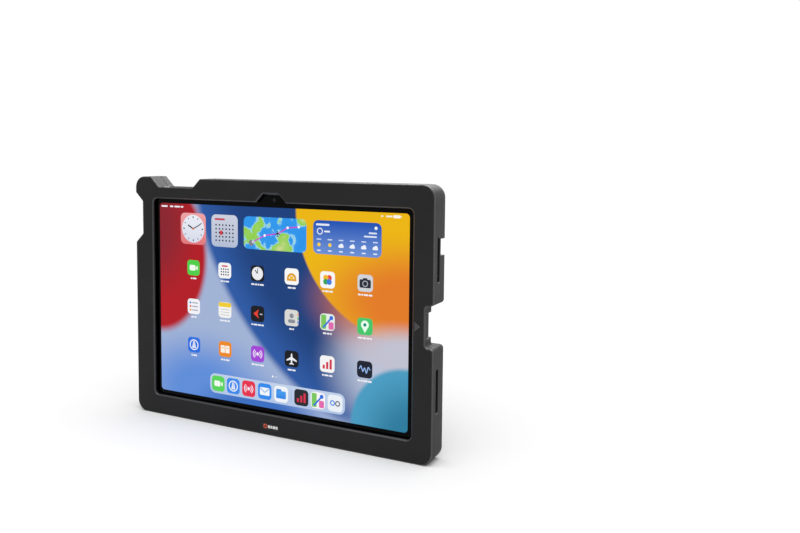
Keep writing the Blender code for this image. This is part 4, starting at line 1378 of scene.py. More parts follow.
    def build_rear(self) -> None:
        """Makes the flat rear half."""
        at = self.layout
        notch_x = at.tablet_high.x - self.rear_overlap
        corners = self.outline(notch_x, self.port_inner + 1.0)
        shape = growing(corners)
        sections = round_edge(shape, at.split_far, 1, 0.3, 1)
        sections += list(reversed(round_edge(shape, at.back, -1, self.edge)))
        shell = loft("rear_shell_milled", sections, self.stock.acetal_pair())
        cuts = self.finger_cuts("rear")
        for number, place in enumerate(at.screws, 1):
            seat = Layout.span(f"case_screw_{number:02d}")[1].y - Fasteners.head_height - CLEARANCE
            wide = self.counterbore + self.small_break
            cuts.append(self.cutter(f"counterbore_{number:02d}", turned((
                (self.shank_hole, at.split_far - PAST), (self.shank_hole, seat), (self.counterbore, seat),
                (self.counterbore, at.back - self.small_break), (wide, at.back),
                (wide, at.back + PAST)), 32, place)))
        for tag in ("upper", "lower"):
            shape = round_hole(Layout.middle("dowel_pin_" + tag), self.dowel_hole)
            cuts.append(self.cutter(f"dowel_hole_{tag}", mouth(shape, at.split_far - PAST, at.back, 0.2)))
        middle = at.tablet_middle
        cuts.append(self.trough("top_trough", middle.x, at.top - self.trough_from_top, Axis.X))
        cuts.append(self.trough("side_trough", middle.x - self.side_trough_from_middle, middle.z, Axis.Z))
        cuts += self.field_cuts(notch_x)
        cuts.append(self.cutter("camera_cut", [
            (self.lens_shape(0.0), at.split_far - PAST),
            (self.lens_shape(0.0), at.back - self.lens_flare_depth),
            (self.lens_shape(self.lens_flare), at.back),
            (self.lens_shape(self.lens_flare), at.back + PAST),
        ]))
        cuts += self.tether_cuts()
        cuts.append(self.seat("id_label_seat", "id_label", Trim.corners("id_label", Trim.label_radius), 6))
        self.place(smoothed(carve(shell, cuts)), "case_acetal", ["rear_shell"])

    def build(self) -> None:
        """Makes both halves."""
        self.build_front()
        self.build_rear()


def arrow_corners(low: Vector, high: Vector, radius: float = 0.3) -> list[Corner]:
    """Corners of the triangle whose tip points to the port notch.

    Args:
        low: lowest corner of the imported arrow's box.
        high: highest corner.
        radius: of its points.

    Returns:
        Corners, anticlockwise.
    """
    middle = (low.z + high.z) / 2
    overrun = radius
    return [
        (low.x, low.z - overrun, radius), (high.x + overrun / 2, middle, radius),
        (low.x, high.z + overrun, radius)]


@dataclass
class Fasteners(Assembly):
    """Socket-head screws, knurled inserts and dowels."""

    head: float = 2.7
    head_height: float = 2.8
    head_break: float = 0.3
    knurl: float = 0.07
    socket: float = 1.5
    socket_depth: float = 1.5
    shank: float = 1.25
    thread_depth: float = 0.18
    thread_pitch: float = 0.5
    reach: float = 9.2
    insert: float = 2.0
    insert_bore: float = 1.55
    insert_length: float = 5.6

    def screw(self) -> Object:
        """One screw, its seat at the origin and its head towards +Y.

        Returns:
            The screw.
        """
        turns = int(self.reach / self.thread_pitch)
        sections: list[Section] = [(circle(0, 0, self.shank - 0.35), -self.reach)]
        for turn in range(turns):
            start = -self.reach + 0.25 + turn * self.thread_pitch
            sections.append((circle(0, 0, self.shank - self.thread_depth), start))
            if start + self.thread_pitch / 2 < -0.3:
                sections.append((circle(0, 0, self.shank), start + self.thread_pitch / 2))
        top = self.head_height
        inner = self.head - self.head_break
        sections += [
            (circle(0, 0, self.shank), 0.0),
            (circle(0, 0, self.head - 0.1), 0.0),
            (knurled(0, 0, self.head, self.knurl), 0.12),
            (knurled(0, 0, self.head, self.knurl), top - self.head_break),
            (circle(0, 0, self.head - 0.1), top - self.head_break + 0.04),
            (circle(0, 0, inner), top),
            (circle(0, 0, self.socket + 0.18), top),
            (polygon(0, 0, self.socket, 6), top - 0.2),
            (polygon(0, 0, self.socket, 6), top - self.socket_depth),
            (circle(0, 0, 0.25), top - self.socket_depth - 0.35),
        ]
        return smoothed(loft("screw_pattern", sections))

    def threaded_insert(self) -> Object:
        """One brass insert with two knurled bands, its middle at the origin.

        Returns:
            The insert.
        """
        half = self.insert_length / 2
        groove = self.insert - 0.25
        sections: list[Section] = [
            (circle(0, 0, self.insert - 0.2), -half),
            (knurled(0, 0, self.insert, 0.16), -half + 0.3),
            (knurled(0, 0, self.insert, 0.16), -0.6),
            (circle(0, 0, groove), -0.4),
            (circle(0, 0, groove), 0.4),
            (knurled(0, 0, self.insert, 0.16), 0.6),
            (knurled(0, 0, self.insert, 0.16), half - 0.3),
            (circle(0, 0, self.insert - 0.2), half),
            (circle(0, 0, self.insert_bore + 0.12), half),
            (circle(0, 0, self.insert_bore), half - 0.15),
            (circle(0, 0, self.insert_bore), -half + 0.15),
            (circle(0, 0, self.insert_bore + 0.12), -half),
        ]
        return smoothed(loft("insert_pattern", sections, ring=True))

    def build(self) -> None:
        """Sets the screws, inserts and dowels."""
        at = self.layout
        numbers = range(1, len(at.screws) + 1)
        seats = []
        for number, place in zip(numbers, at.screws):
            top = Layout.span(f"case_screw_{number:02d}")[1].y
            seats.append(Vector((place.x, top - self.head_height, place.z)) * MM)
        screws = self.repeater.copies(
            "case_screws", seats, self.screw(), self.stock["black_oxide"], turn=math.radians(60), seed=7)
        self.place(screws, "black_oxide_steel", [f"case_screw_{n:02d}" for n in numbers])
        places = [place * MM for place in at.inserts]
        inserts = self.repeater.copies(
            "threaded_inserts", places, self.threaded_insert(), self.stock["brass"],
            turn=math.radians(30), seed=3)
        self.place(inserts, "brass", [f"threaded_insert_{n:02d}" for n in numbers])
        for tag in ("upper", "lower"):
            low, high = Layout.span("dowel_pin_" + tag)
            shape = round_hole((low + high) / 2, (high.x - low.x) / 2, 40)
            sections = round_edge(shape, low.y, 1, 0.3) + list(reversed(round_edge(shape, high.y, -1, 0.3)))
            # The dowel's dark steel colour is painted shade of its hole.
            pin = smoothed(loft(f"dowel_{tag}", sections, [self.stock["ground_steel"]]))
            self.place(pin, "ground_steel", ["dowel_pin_" + tag])


# Flat printed shapes.
@dataclass
class Drawing:
    """Thin flat shapes that face out of one plane, each in its own colour."""

    plane: float
    outward: int = -1
    layer: float = 0.03
    shapes: list[tuple[Outline, str, str, int]] = field(default_factory=list)

    def poly(self, points: Outline, colour: str, lift: int = 1, lower: str = "") -> None:
        """Adds a shape, shaded from colour at its top to lower at its foot."""
        self.shapes.append((points, colour, lower or colour, lift))

    def plate(
        self, u: float, v: float, width: float, height: float, colour: str,
        radius: float = 0.3, lift: int = 1,
        lower: str = "",
    ) -> None:
        """Adds a rectangle with round corners.

        Args:
            u: middle across.
            v: middle up.
            width: across.
            height: up.
            colour: at the top.
            radius: of the corners.
            lift: layer it lies on.
            lower: colour at the foot, if another.
        """
        corners = box(u - width / 2, u + width / 2, v - height / 2, v + height / 2, radius)
        self.poly(rounded(corners, 0.0, 5), colour, lift, lower)

    def disc(self, u: float, v: float, radius: float, colour: str, lift: int = 1, lower: str = "") -> None:
        """Adds a round shape."""
        self.poly(circle(u, v, radius, 32), colour, lift, lower)

    def bar(
        self, start: tuple[float, float], end: tuple[float, float], width: float, colour: str, lift: int = 1
    ) -> None:
        """Adds a straight stroke with square ends between two points."""
        a, b = Vector(start), Vector(end)
        side = (b - a).normalized().orthogonal() * width / 2
        self.poly([tuple(p) for p in (a - side, b - side, b + side, a + side)], colour, lift)

    def arc(
        self, u: float, v: float, radius: float, width: float, start: float, end: float, colour: str,
        lift: int = 1
    ) -> None:
        """Adds part of a ring.

        Args:
            u: middle across.
            v: middle up.
            radius: of the stroke's middle.
            width: of the stroke.
            start: first angle in degrees.
            end: last angle.
            colour: of the stroke.
            lift: layer it lies on.
        """
        steps = max(6, int(abs(end - start) / 12))
        angles = [math.radians(start + (end - start) * i / steps) for i in range(steps + 1)]
        outer, inner = [
            [(u + reach * math.cos(angle), v + reach * math.sin(angle)) for angle in angles]
            for reach in (radius + width / 2, radius - width / 2)]
        for i in range(steps):
            self.poly([outer[i], outer[i + 1], inner[i + 1], inner[i]], colour, lift)

    def make(self, name: str, finish: Material) -> Object:
        """Makes one mesh of all the shapes.

        Args:
            name: the object's name.
            finish: material that reads the shapes' colours.

        Returns:
            The object, each shape a closed plate.
        """
        bm = bmesh.new()
        ink = bm.verts.layers.float_color.new(INK)
        for points, upper, lower, lift in self.shapes:
            foot, head = min(v for _, v in points), max(v for _, v in points)
            tints = (Vector(linear(lower)), Vector(linear(upper)))
            near = self.plane + self.outward * self.layer * lift
            far = self.plane + self.outward * self.layer * (lift - 1)
            rows = []
            for y in (near, far):
                row = [bm.verts.new(Axis.Y.point(u, v, y)) for u, v in points]
                for vertex, (_, v) in zip(row, points):
                    vertex[ink] = tints[0].lerp(tints[1], (v - foot) / (head - foot))
                rows.append(row)
            made = [bm.faces.new(rows[0]), bm.faces.new(list(reversed(rows[1])))]
            for i in range(len(points)):
                j = (i + 1) % len(points)
                made.append(bm.faces.new((rows[0][i], rows[1][i], rows[1][j], rows[0][j])))
            bmesh.ops.recalc_face_normals(bm, faces=made)
        mesh = bpy.data.meshes.new(name)
        bm.to_mesh(mesh)
        bm.free()
        return new_object(name, mesh, [finish])


@dataclass
class Trim(Assembly):
    """Label, badge and arrow. They carry plain bars and a plain mark, and no lettering."""

    label_radius: float = 1.5
    badge_radius: float = 1.2

    @staticmethod
    def corners(node: str, radius: float) -> list[Corner]:
        """Corners of a packed label, seen from the front."""
        low, high = Layout.span(node)
        return box(low.x, high.x, low.z, high.z, radius)

    def thin_plate(self, name: str, node: str, corners: Sequence[Corner], finish: str, slot: str) -> None:
        """Replaces a packed label with a fine one.

        Args:
            name: the new piece's name.
            node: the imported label.
            corners: its outline's corners.
            finish: short name of its finish.
            slot: the record's material slot.
        """
        low, high = Layout.span(node)
        outward = -1 if low.y < 0 else 1
        face = low.y if outward < 0 else high.y
        far = high.y if outward < 0 else low.y
        shape = growing(corners)
        sections = round_edge(shape, face, -outward, 0.06, 2) + [(shape(0.0), far)]
        self.place(smoothed(loft(name, sections, [self.stock[finish]])), slot, [node])

    def build_label(self) -> None:
        """White label with a heading bar, dashed lines and a bar code of even and odd bars."""
        low, high = Layout.span("id_label")
        corners = self.corners("id_label", self.label_radius)
        self.thin_plate("label_plate", "id_label", corners, "vinyl", "white_label")
        middle = (low + high) / 2
        drawing = Drawing(high.y, 1, 0.03)
        widths = (5.4, 3.6, 6.2, 3.2, 4.6)
        at = middle.x + 13.8
        for width in widths:
            drawing.plate(at - width / 2, middle.z + 3.6, width, 4.2, "#26262a", 0.4)
            at -= width + 0.9
        for row in range(3):
            at = middle.x + 11.4 - row
            for dash in range(6 - row):
                width = 2.2 + 1.3 * ((dash * 3 + row) % 3)
                drawing.plate(at - width / 2, middle.z - 0.3 - row * 1.5, width, 0.8, "#26262a", 0.15)
                at -= width + 0.8
        for stripe in range(26):
            width = 0.3 + 0.22 * ((stripe * 5) % 3)
            drawing.plate(middle.x + 10.4 - stripe * 0.82, middle.z - 5.9, width, 1.9, "#26262a", 0.05)
        self.place(drawing.make("label_print", self.stock["print"]), "grey_marking")

    def build_badge(self) -> None:
        """Badge with an orange ring and white dashes."""
        low, high = Layout.span("front_badge")
        corners = self.corners("front_badge", self.badge_radius)
        self.thin_plate("badge_film", "front_badge", corners, "film", "printed_badge")
        middle = (low + high) / 2
        mark = Drawing(low.y, -1, 0.03)
        mark.arc(low.x + 2.8, middle.z, 1.35, 0.85, 0, 360, "#e2501c")
        self.place(mark.make("badge_ring", self.stock["film_orange"]), "printed_badge")
        dashes = Drawing(low.y, -1, 0.03)
        at = low.x + 5.2
        for width in (2.2, 1.4, 2.6, 1.6):
            dashes.plate(at + width / 2, middle.z - 0.1, width, 2.1, "#ededea", 0.35)
            at += width + 0.4
        self.place(dashes.make("badge_dashes", self.stock["film_white"]), "printed_badge")

    def build(self) -> None:
        """Makes the label, the badge and the arrow."""
        self.build_label()
        self.build_badge()
        low, high = Layout.span("direction_arrow")
        shape_low = low + Vector((0.0, 0.0, 0.15))
        shape_high = high - Vector((0.2, 0.0, 0.15))
        corners = arrow_corners(shape_low, shape_high)
        self.thin_plate("arrow_print", "direction_arrow", corners, "pad_print", "grey_marking")


# The tablet.
@dataclass
class TabletBody(Assembly):
    """Housing, keys, cameras, speaker holes, and what is inside."""

    key_radius: float = 1.25
    flange: float = 0.7
    hole: float = 0.45
    hole_pitch: float = 2.0
    round_sides: int = 64

    def build_key(self, node: str, axis: Axis, inward: int, body: Body) -> None:
        """Replaces a key with one whose face is crowned and whose rim is rounded.

        Args:
            node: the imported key.
            axis: direction it travels.
            inward: 1 or -1, the way it is pushed.
            body: the body it moves with.
        """
        low, high = Layout.span(node)
        middle = (low + high) / 2
        if axis is Axis.X:
            face, root = low.x, high.x
            across = (middle.y, (high.y - low.y) / 2 - self.flange)
            along = (middle.z, (high.z - low.z) / 2 - self.flange)
        else:
            face, root = high.z, low.z
            across = (middle.x, (high.x - low.x) / 2 - self.flange)
            along = (middle.y, (high.y - low.y) / 2 - self.flange)

        def shape(grow: float) -> Outline:
            """Key outline moved out by grow."""
            corners = box(
                across[0] - across[1], across[0] + across[1], along[0] - along[1], along[0] + along[1],
                          self.key_radius)
            return rounded(corners, grow, 8)

        flange_out = root - inward * 0.5
        sections = [(shape(-0.85), face)]
        sections += [(outline, w + inward * 0.06) for outline, w in round_edge(shape, face, inward, 0.4, 4)]
        sections += [(shape(0.0), flange_out), (shape(self.flange), flange_out), (shape(self.flange), root)]
        made = smoothed(loft(node + "_cap", sections, [self.stock["anodised"]], axis))
        self.place(made, "anodised_aluminium", [node], body)

    def build_camera(self) -> None:
        """Ring with a turned chamfer, and a stepped, domed lens in it."""
        low, high = Layout.span("camera_ring")
        centre = (low + high) / 2
        outer = (high.x - low.x) / 2
        inner = (Layout.span("camera_lens")[1].x - Layout.span("camera_lens")[0].x) / 2 + 0.3
        steps = [
            (outer, low.y), (outer, high.y - 0.25), (outer - 0.25, high.y), (inner + 0.35, high.y),
            (inner, high.y - 0.35), (inner, low.y),
        ]
        sections = turned(steps, self.round_sides, centre)
        ring = smoothed(loft("camera_trim_ring", sections, [self.stock["anodised"]], ring=True))
        self.place(ring, "anodised_aluminium", ["camera_ring"])
        low, high = Layout.span("camera_lens")
        radius = (high.x - low.x) / 2
        steps = [
            (radius, low.y), (radius, high.y - 0.1), (radius - 0.1, high.y), (3.3, high.y),
            (2.9, high.y - 0.25), (2.2, high.y - 0.3), (2.1, high.y - 0.12),
            (1.6, high.y - 0.05), (0.9, high.y - 0.01), (0.3, high.y),
        ]
        lens = smoothed(loft("camera_window", turned(steps, self.round_sides, centre), [self.stock["lens"]]))
        self.place(lens, "lens_glass", ["camera_lens"])

    def build_speaker_holes(self) -> None:
        """Rows of flat dark discs on the tablet's edges, in the middle of each slot, that stand for the
        drilled holes with painted shade.
        """
        for tag in ("left_upper", "left_lower", "right_upper", "right_lower"):
            low, high = Layout.span("speaker_" + tag)
            right = "right" in tag
            edge = self.layout.tablet_high.x + 0.02 if right else self.layout.tablet_low.x - 0.02
            centre = Vector((edge, (low.y + high.y) / 2, (low.z + high.z) / 2)) * MM
            columns = int((high.z - low.z - 3.0) / self.hole_pitch)
            # Each hole is a thin dark disc on the edge: painted shade in place of a real hole.
            pit = loft("hole_pattern", turned(((self.hole, -0.02), (self.hole, 0.02)), 16), axis=Axis.Z)
            holes = self.repeater.grid(
                f"speaker_holes_{tag}", (columns, 1), (self.hole_pitch, self.hole_pitch), centre,
                (0.0, math.radians(90), 0.0), pit, self.stock["pit"])
            self.place(holes, "speaker_plastic")

    def build(self) -> None:
        """Makes the moving keys and the camera, and dresses the rest."""
        self.build_key("power_button", Axis.X, 1, Body.POWER)
        self.build_key("volume_up_button", Axis.Z, -1, Body.VOLUME_UP)
        self.build_key("volume_down_button", Axis.Z, -1, Body.VOLUME_DOWN)
        self.build_camera()
        self.build_speaker_holes()
        finishes = {
            "tablet_housing": "anodised", "display_panel": "panel_back",
            "front_gasket": "foam", "rear_pad": "foam",
            "battery_left": "battery", "battery_right": "battery",
            "logic_board": "board", "board_shield": "tinned",
            "microphone": "tinned", "power_switch": "tinned", "volume_up_switch": "tinned",
            "volume_down_switch": "tinned", "rear_camera_module": "moulded", "front_camera": "lens",
            # The port takes the same steel, darkened with painted shade.
            "charging_port": "ground_steel",
        }
        finishes |= {
            f"speaker_{side}_{end}": "moulded" for side in ("left", "right") for end in ("upper", "lower")}
        for node, finish in finishes.items():
            self.dress(node, finish)


@dataclass
class ScreenDrawing(Drawing):
    """Drawing whose shapes are placed from an origin on the screen."""

    origin: Vector = field(default_factory=Vector)

    def poly(self, points: Outline, colour: str, lift: int = 1, lower: str = "") -> None:
        """Adds a shape given from the origin."""
        moved = [(u + self.origin.x, v + self.origin.z) for u, v in points]
        super().poly(moved, colour, lift, lower)


class Glyph(Enum):
    """Plain signs on the app tiles."""

    CALL = "bubble with a lens"
    DAYS = "calendar page"
    DIAL = "clock dial"
    HANGAR = "hangar"
    MOSAIC = "four coloured quarters"
    CAMERA = "camera"
    LIST = "check list"
    NOTES = "note page"
    HEADING = "heading arrow"
    CARD = "contact card"
    ROUTE = "route line"
    PIN = "place mark"
    RUNWAY = "runway in a ring"
    BOOK = "open log book"
    RADIO = "radio waves"
    PLANE = "aircraft"
    BARS = "bar chart"
    WAVE = "trace"
    ENVELOPE = "envelope"
    FOLDER = "folder"
    NOTE = "two knobs"


def clock_point(turn: float, reach: float) -> tuple[float, float]:
    """Point on a clock face, at a turn from twelve in degrees."""
    return (reach * math.sin(math.radians(turn)), reach * math.cos(math.radians(turn)))


@dataclass
class Screen(Assembly):
    """Cover glass and everything that the lit screen shows. The signs on it are plain and of no maker."""

    tile: float = 12.6
    tile_radius: float = 2.9
    column_pitch: float = 31.5
    row_pitch: float = 31.9
    first_row: float = 26.8
    caption_drop: float = 8.7
    widget_size: float = 25.6
    widget_radius: float = 4.2
    dock_middle: float = -66.1
    dock_width: float = 125.0
    dock_height: float = 16.0
    panel_border: float = 2.0
    picture_radius: float = 3.0
    glass_corner: float = 11.1
    glass_edge: float = 0.35
    layer: float = 0.03
    middle: Vector = field(init=False)
    half_width: float = field(init=False)
    half_height: float = field(init=False)

    def __post_init__(self) -> None:
        """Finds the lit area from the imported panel."""
        low, high = Layout.span("display_panel")
        self.middle = (low + high) / 2
        self.half_width = (high.x - low.x) / 2 - self.panel_border
        self.half_height = (high.z - low.z) / 2 - self.panel_border

    def show(self, drawing: Drawing, name: str) -> None:
        """Makes a lit drawing into a piece."""
        self.place(drawing.make(name, self.stock["lit"]), "display")

    def drawing(self, u: float = 0.0, v: float = 0.0) -> ScreenDrawing:
        """Empty drawing whose origin is at (u, v) from the screen's middle."""
        origin = self.middle + Vector((u, 0.0, v))
        return ScreenDrawing(self.layout.glass_front - self.layer, -1, self.layer, origin=origin)

    def picture(
        self, name: str, place: tuple[float, float], size: tuple[float, float], radius: float, lift: int,
        finish: str
    ) -> None:
        """Lays a plate with a picture of its own on the glass.

        Args:
            name: the piece's name.
            place: its middle, from the screen's middle.
            size: width and height.
            radius: of its corners.
            lift: layers under it.
            finish: short name of its finish.
        """
        middle = (self.middle.x + place[0], self.middle.z + place[1])
        wide, tall = size[0] / 2, size[1] / 2
        corners = box(middle[0] - wide, middle[0] + wide, middle[1] - tall, middle[1] + tall, radius)
        near = self.layout.glass_front - self.layer * (lift + 1)
        far = self.layout.glass_front - self.layer * lift
        sections = [(rounded(corners), near), (rounded(corners), far - (0.0 if lift else 0.001))]
        self.place(loft(name, sections, [self.stock[finish]]), "display")

    def build_glass(self) -> None:
        """Cover glass with a polished edge, its black border and the wallpaper under it."""
        low, high = Layout.span("cover_glass")
        corners = box(low.x, high.x, low.z, high.z, self.glass_corner)
        shape = growing(corners, 16)
        sections = round_edge(shape, low.y, 1, self.glass_edge) + [(shape(0.0), high.y)]
        glass = smoothed(loft("glass_with_black_border", sections, [self.stock["glass_ink"]]))
        self.place(glass, "screen_glass", ["cover_glass"])
        size = (2 * self.half_width, 2 * self.half_height)
        self.picture("home_screen_wallpaper", (0.0, 0.0), size, self.picture_radius, 0, "wallpaper")
        front = self.layout.glass_front
        lens = Drawing(front, -1, self.layer)
        lens.disc(self.middle.x, self.layout.tablet_high.z - 4.6, 1.5, "#101018")
        self.place(lens.make("front_camera_window", self.stock["lens"]), "lens_glass")

    def build_clock(self) -> None:
        """Round clock on a pale red square, set to ten past ten, with plain hour marks."""
        size = self.widget_size
        d = self.drawing(-78.7, 58.8)
        d.plate(0, 0, size, size, "#f0a6a8", self.widget_radius, 1, "#e5787d")
        d.disc(0, 0, 11.4, "#eef1fa", 2, "#d9deee")
        for hour in range(12):
            mark = [clock_point(hour * 30, reach) for reach in (8.6, 10.2)]
            d.bar(mark[0], mark[1], 0.9 if hour % 3 == 0 else 0.55, "#2b2f3a", 3)
        for turn, reach, width in ((-61, 6.0, 1.1), (62, 8.6, 0.8)):
            d.bar((0, 0), clock_point(turn, reach), width, "#15171d", 4)
        d.disc(0, 0, 0.9, "#e06a1f", 5)
        self.show(d, "clock_widget")

    def build_calendar(self) -> None:
        """Month page: a heading, and day squares with one marked."""
        u, v, size = -47.3, 58.6, 25.8
        d = self.drawing(u, v)
        d.plate(0, 0, size, size, "#cfd3e2", self.widget_radius, 1, "#b4c0d8")
        d.plate(-4.6, 9.2, 10.0, 1.6, "#c8455a", 0.6, 2)
        d.disc(-3.3, -1.6, 1.9, "#d8404f", 2)
        self.show(d, "calendar_widget")
        square = rounded(box(-0.65, 0.65, -0.65, 0.65, 0.3), 0.0, 3)
        day = loft("day_pattern", [(square, -self.layer / 2), (square, self.layer / 2)], axis=Axis.Z)
        centre = self.middle + Vector((u, 0.0, v - 1.6))
        centre.y = self.layout.glass_front - self.layer * 3.8
        squares = self.repeater.grid(
            "calendar_days", (6, 5), (3.3, 3.1), centre * MM, (math.radians(90), 0.0, 0.0), day,
            self.stock["print"])
        self.place(squares, "display")

    def build_chart(self) -> None:
        """Moving chart with a planned route on it."""
        u, v = 0.1, 58.5
        self.picture("chart_widget", (u, v), (57.4, self.widget_size), self.widget_radius, 1, "chart")
        d = self.drawing(u, v)
        stops = [(-20.0, -7.0), (-9.0, -1.5), (3.0, 0.5), (12.0, 5.5), (22.0, 6.5)]
        for first, second in zip(stops, stops[1:]):
            d.bar(first, second, 0.9, "#d23ad6", 2)
        for stop in stops:
            d.disc(*stop, 1.05, "#ffffff", 3)
        self.plane_shape(d, 3.0, 0.5, 2.4, "#10131c", 4)
        d.disc(-21.5, -8.0, 2.4, "#7d8591", 3)
        self.show(d, "chart_route")

    def build_forecast(self) -> None:
        """Weather card: plain bars, a sun, and six hourly signs: two little suns and four little clouds."""
        width = 57.0
        left = -width / 2
        d = self.drawing(63.2, 58.5)
        d.plate(0, 0, width, 25.2, "#124fb4", self.widget_radius, 1, "#6c92d8")
        d.plate(left + 8.2, 9.4, 11.5, 1.5, "#e8effc", 0.6, 2)
        d.arc(left + 5.8, 4.4, 2.2, 0.7, 0, 360, "#f3f7ff", 2)
        d.plate(left + 12.0, 4.4, 5.0, 1.2, "#f3f7ff", 0.5, 2)
        d.disc(24.0, 8.8, 1.2, "#ffffff", 2)
        d.plate(21.4, 5.0, 6.6, 1.2, "#dfe9fb", 0.5, 2)
        d.plate(19.4, 2.4, 10.4, 1.2, "#dfe9fb", 0.5, 2)
        for hour in range(6):
            at = left + 5.0 + hour * 9.4
            d.plate(at, -1.6, 4.0, 0.9, "#cfdcf8", 0.4, 2)
            if hour < 2:
                d.disc(at, -5.6, 1.4, "#ffd34a", 2)
            else:
                self.cloud(d, at, -5.8, "#f4f8ff", 2)
            d.plate(at, -10.0, 3.2, 1.0, "#e7effd", 0.4, 2)
        self.show(d, "forecast_widget")

    def cloud(self, d: ScreenDrawing, u: float, v: float, colour: str, lift: int) -> None:
        """Draws a cloud of a plate and two discs."""
        d.plate(u, v - 0.4, 4.4, 1.7, colour, 0.8, lift)
        d.disc(u + 0.5, v + 0.5, 1.4, colour, lift + 1)
        d.disc(u - 1.0, v + 0.1, 1.0, colour, lift + 2)

    def plane_shape(self, d: ScreenDrawing, u: float, v: float, size: float, colour: str, lift: int) -> None:
        """Draws an aircraft seen from above, nose up."""
        half = [(0.0, 1.0), (0.14, 0.7), (0.16, 0.3), (1.0, -0.2), (1.0, -0.42), (0.16, -0.18),
            (0.12, -0.65),
                (0.42, -0.86), (0.42, -1.0), (0.0, -0.9)]
        mirrored = [(-a, b) for a, b in reversed(half[1:-1])]
        d.poly([(u + a * size, v + b * size) for a, b in half + mirrored], colour, lift)

    def sign(self, d: ScreenDrawing, glyph: Glyph) -> None:
        """Draws one tile's sign round the drawing's origin.

        Args:
            d: the drawing.
            glyph: which sign.
        """
        if glyph is Glyph.CALL:
            d.plate(-0.9, 0, 6.0, 4.6, "#f6fff4", 1.2, 2)
            d.poly([(2.6, -0.6), (4.4, -1.9), (4.4, 1.9), (2.6, 0.6)], "#f6fff4", 2)
        elif glyph is Glyph.DAYS:
            d.plate(0, 3.6, 5.6, 1.2, "#d23a48", 0.4, 2)
            for row in range(3):
                for column in range(4):
                    d.plate(-3.3 + column * 2.2, 1.1 - row * 2.2, 1.2, 1.2, "#3a3d45", 0.2, 2)
        elif glyph is Glyph.DIAL:
            d.disc(0, 0, 5.2, "#eef0f4", 2)
            d.bar((0, 0), (-2.2, 2.6), 0.8, "#22252c", 3)
            d.bar((0, 0), (0.4, 4.0), 0.6, "#22252c", 3)
        elif glyph is Glyph.HANGAR:
            d.arc(0, -1.6, 3.4, 1.7, 0, 180, "#e0a015", 2)
            d.plate(0, -2.5, 8.6, 1.7, "#e0a015", 0.2, 2)
            d.plate(0, -0.9, 3.4, 2.6, "#f4c64a", 0.2, 3)
        elif glyph is Glyph.MOSAIC:
            for quarter, ink in enumerate(("#e8453c", "#f5b81f", "#35a853", "#3b7de0")):
                d.disc(*clock_point(45 - 90 * quarter, 2.1), 2.2, ink, 2 + quarter)
        elif glyph is Glyph.CAMERA:
            d.plate(0, -0.4, 9.2, 6.2, "#262a36", 1.1, 2)
            d.plate(0, 2.9, 3.6, 1.6, "#262a36", 0.4, 2)
            d.disc(0, -0.4, 2.3, "#b9bcc4", 3)
            d.disc(0, -0.4, 1.7, "#262a36", 4)
        elif glyph is Glyph.LIST:
            for row, ink in enumerate(("#3478e5", "#e04a3c", "#e5952a")):
                d.disc(-3.4, 3.0 - row * 3.0, 0.9, ink, 2)
                d.plate(1.3, 3.0 - row * 3.0, 6.0, 0.9, "#9aa3b4", 0.3, 2)
        elif glyph is Glyph.NOTES:
            d.plate(0, 4.2, 12.2, 3.6, "#f2cf2e", 1.2, 2)
            for row in range(3):
                d.plate(0, 0.4 - row * 2.2, 9.0, 0.5, "#b7bac2", 0.2, 2)
        elif glyph is Glyph.HEADING:
            d.poly([(-3.9, 0), (1.2, 3.6), (0.1, 0), (1.2, -3.6)], "#e8402f", 2)
            d.plate(3.4, 0, 2.6, 0.9, "#b9c0cc", 0.3, 2)
        elif glyph is Glyph.CARD:
            d.disc(0, 1.6, 1.9, "#8a8f99", 2)
            d.plate(0, -2.6, 6.4, 2.8, "#8a8f99", 1.3, 2)
            for tab, ink in enumerate(("#e5952a", "#39b36b", "#3478e5")):
                d.plate(5.7, 3.0 - tab * 3.0, 0.9, 2.2, ink, 0.2, 2)
        elif glyph is Glyph.ROUTE:
            d.plate(-3.2, 0, 4.4, 10.8, "#7cc95e", 1.0, 2)
            d.plate(3.2, -2.6, 4.4, 5.6, "#e56bb0", 1.0, 2)
            d.bar((-3.6, -4.4), (3.8, 3.8), 1.3, "#2e6fe0", 3)
            d.disc(3.4, 3.4, 1.6, "#2e6fe0", 4)
        elif glyph is Glyph.PIN:
            d.disc(0, 1.2, 3.2, "#eafff0", 2)
            d.poly([(-2.6, -0.4), (0, -4.8), (2.6, -0.4)], "#eafff0", 3)
            d.disc(0, 1.2, 1.3, "#1f8f7a", 4)
        elif glyph is Glyph.RUNWAY:
            d.arc(0, 0, 4.0, 0.9, 0, 360, "#f2f7ff", 2)
            d.poly([(-1.9, -2.6), (1.9, -2.6), (0.8, 2.8), (-0.8, 2.8)], "#f2f7ff", 2)
            d.bar((0, -2.0), (0, 2.2), 0.5, "#2f6fdc", 3)
        elif glyph is Glyph.BOOK:
            for side in (-1, 1):
                d.plate(side * 2.3, 0, 4.0, 6.0, "#fff6ea", 0.5, 2)
                d.plate(side * 2.3, 1.0, 2.6, 0.5, "#e9a35a", 0.2, 3)
        elif glyph is Glyph.RADIO:
            d.disc(0, 0, 1.3, "#f7ecff", 2)
            for reach in (2.6, 4.1):
                d.arc(0, 0, reach, 0.7, -50, 50, "#f7ecff", 2)
                d.arc(0, 0, reach, 0.7, 130, 230, "#f7ecff", 2)
        elif glyph is Glyph.PLANE:
            self.plane_shape(d, 0, 0, 4.6, "#f1f3f7", 2)
        elif glyph is Glyph.BARS:
            for column, height in enumerate((3.0, 5.4, 7.6)):
                d.plate(-3.0 + column * 3.0, -3.8 + height / 2, 1.9, height, "#d6304a", 0.4, 2)
        elif glyph is Glyph.WAVE:
            heights = (0.0, 2.6, -1.8, 1.4, -2.8, 2.2, 0.0)
            points = [(-4.5 + 1.5 * i, height) for i, height in enumerate(heights)]
            for first, second in zip(points, points[1:]):
                d.bar(first, second, 0.7, "#9fc4ff", 2)
        elif glyph is Glyph.ENVELOPE:
            d.plate(0, 0, 9.0, 6.2, "#f4f9ff", 0.9, 2)
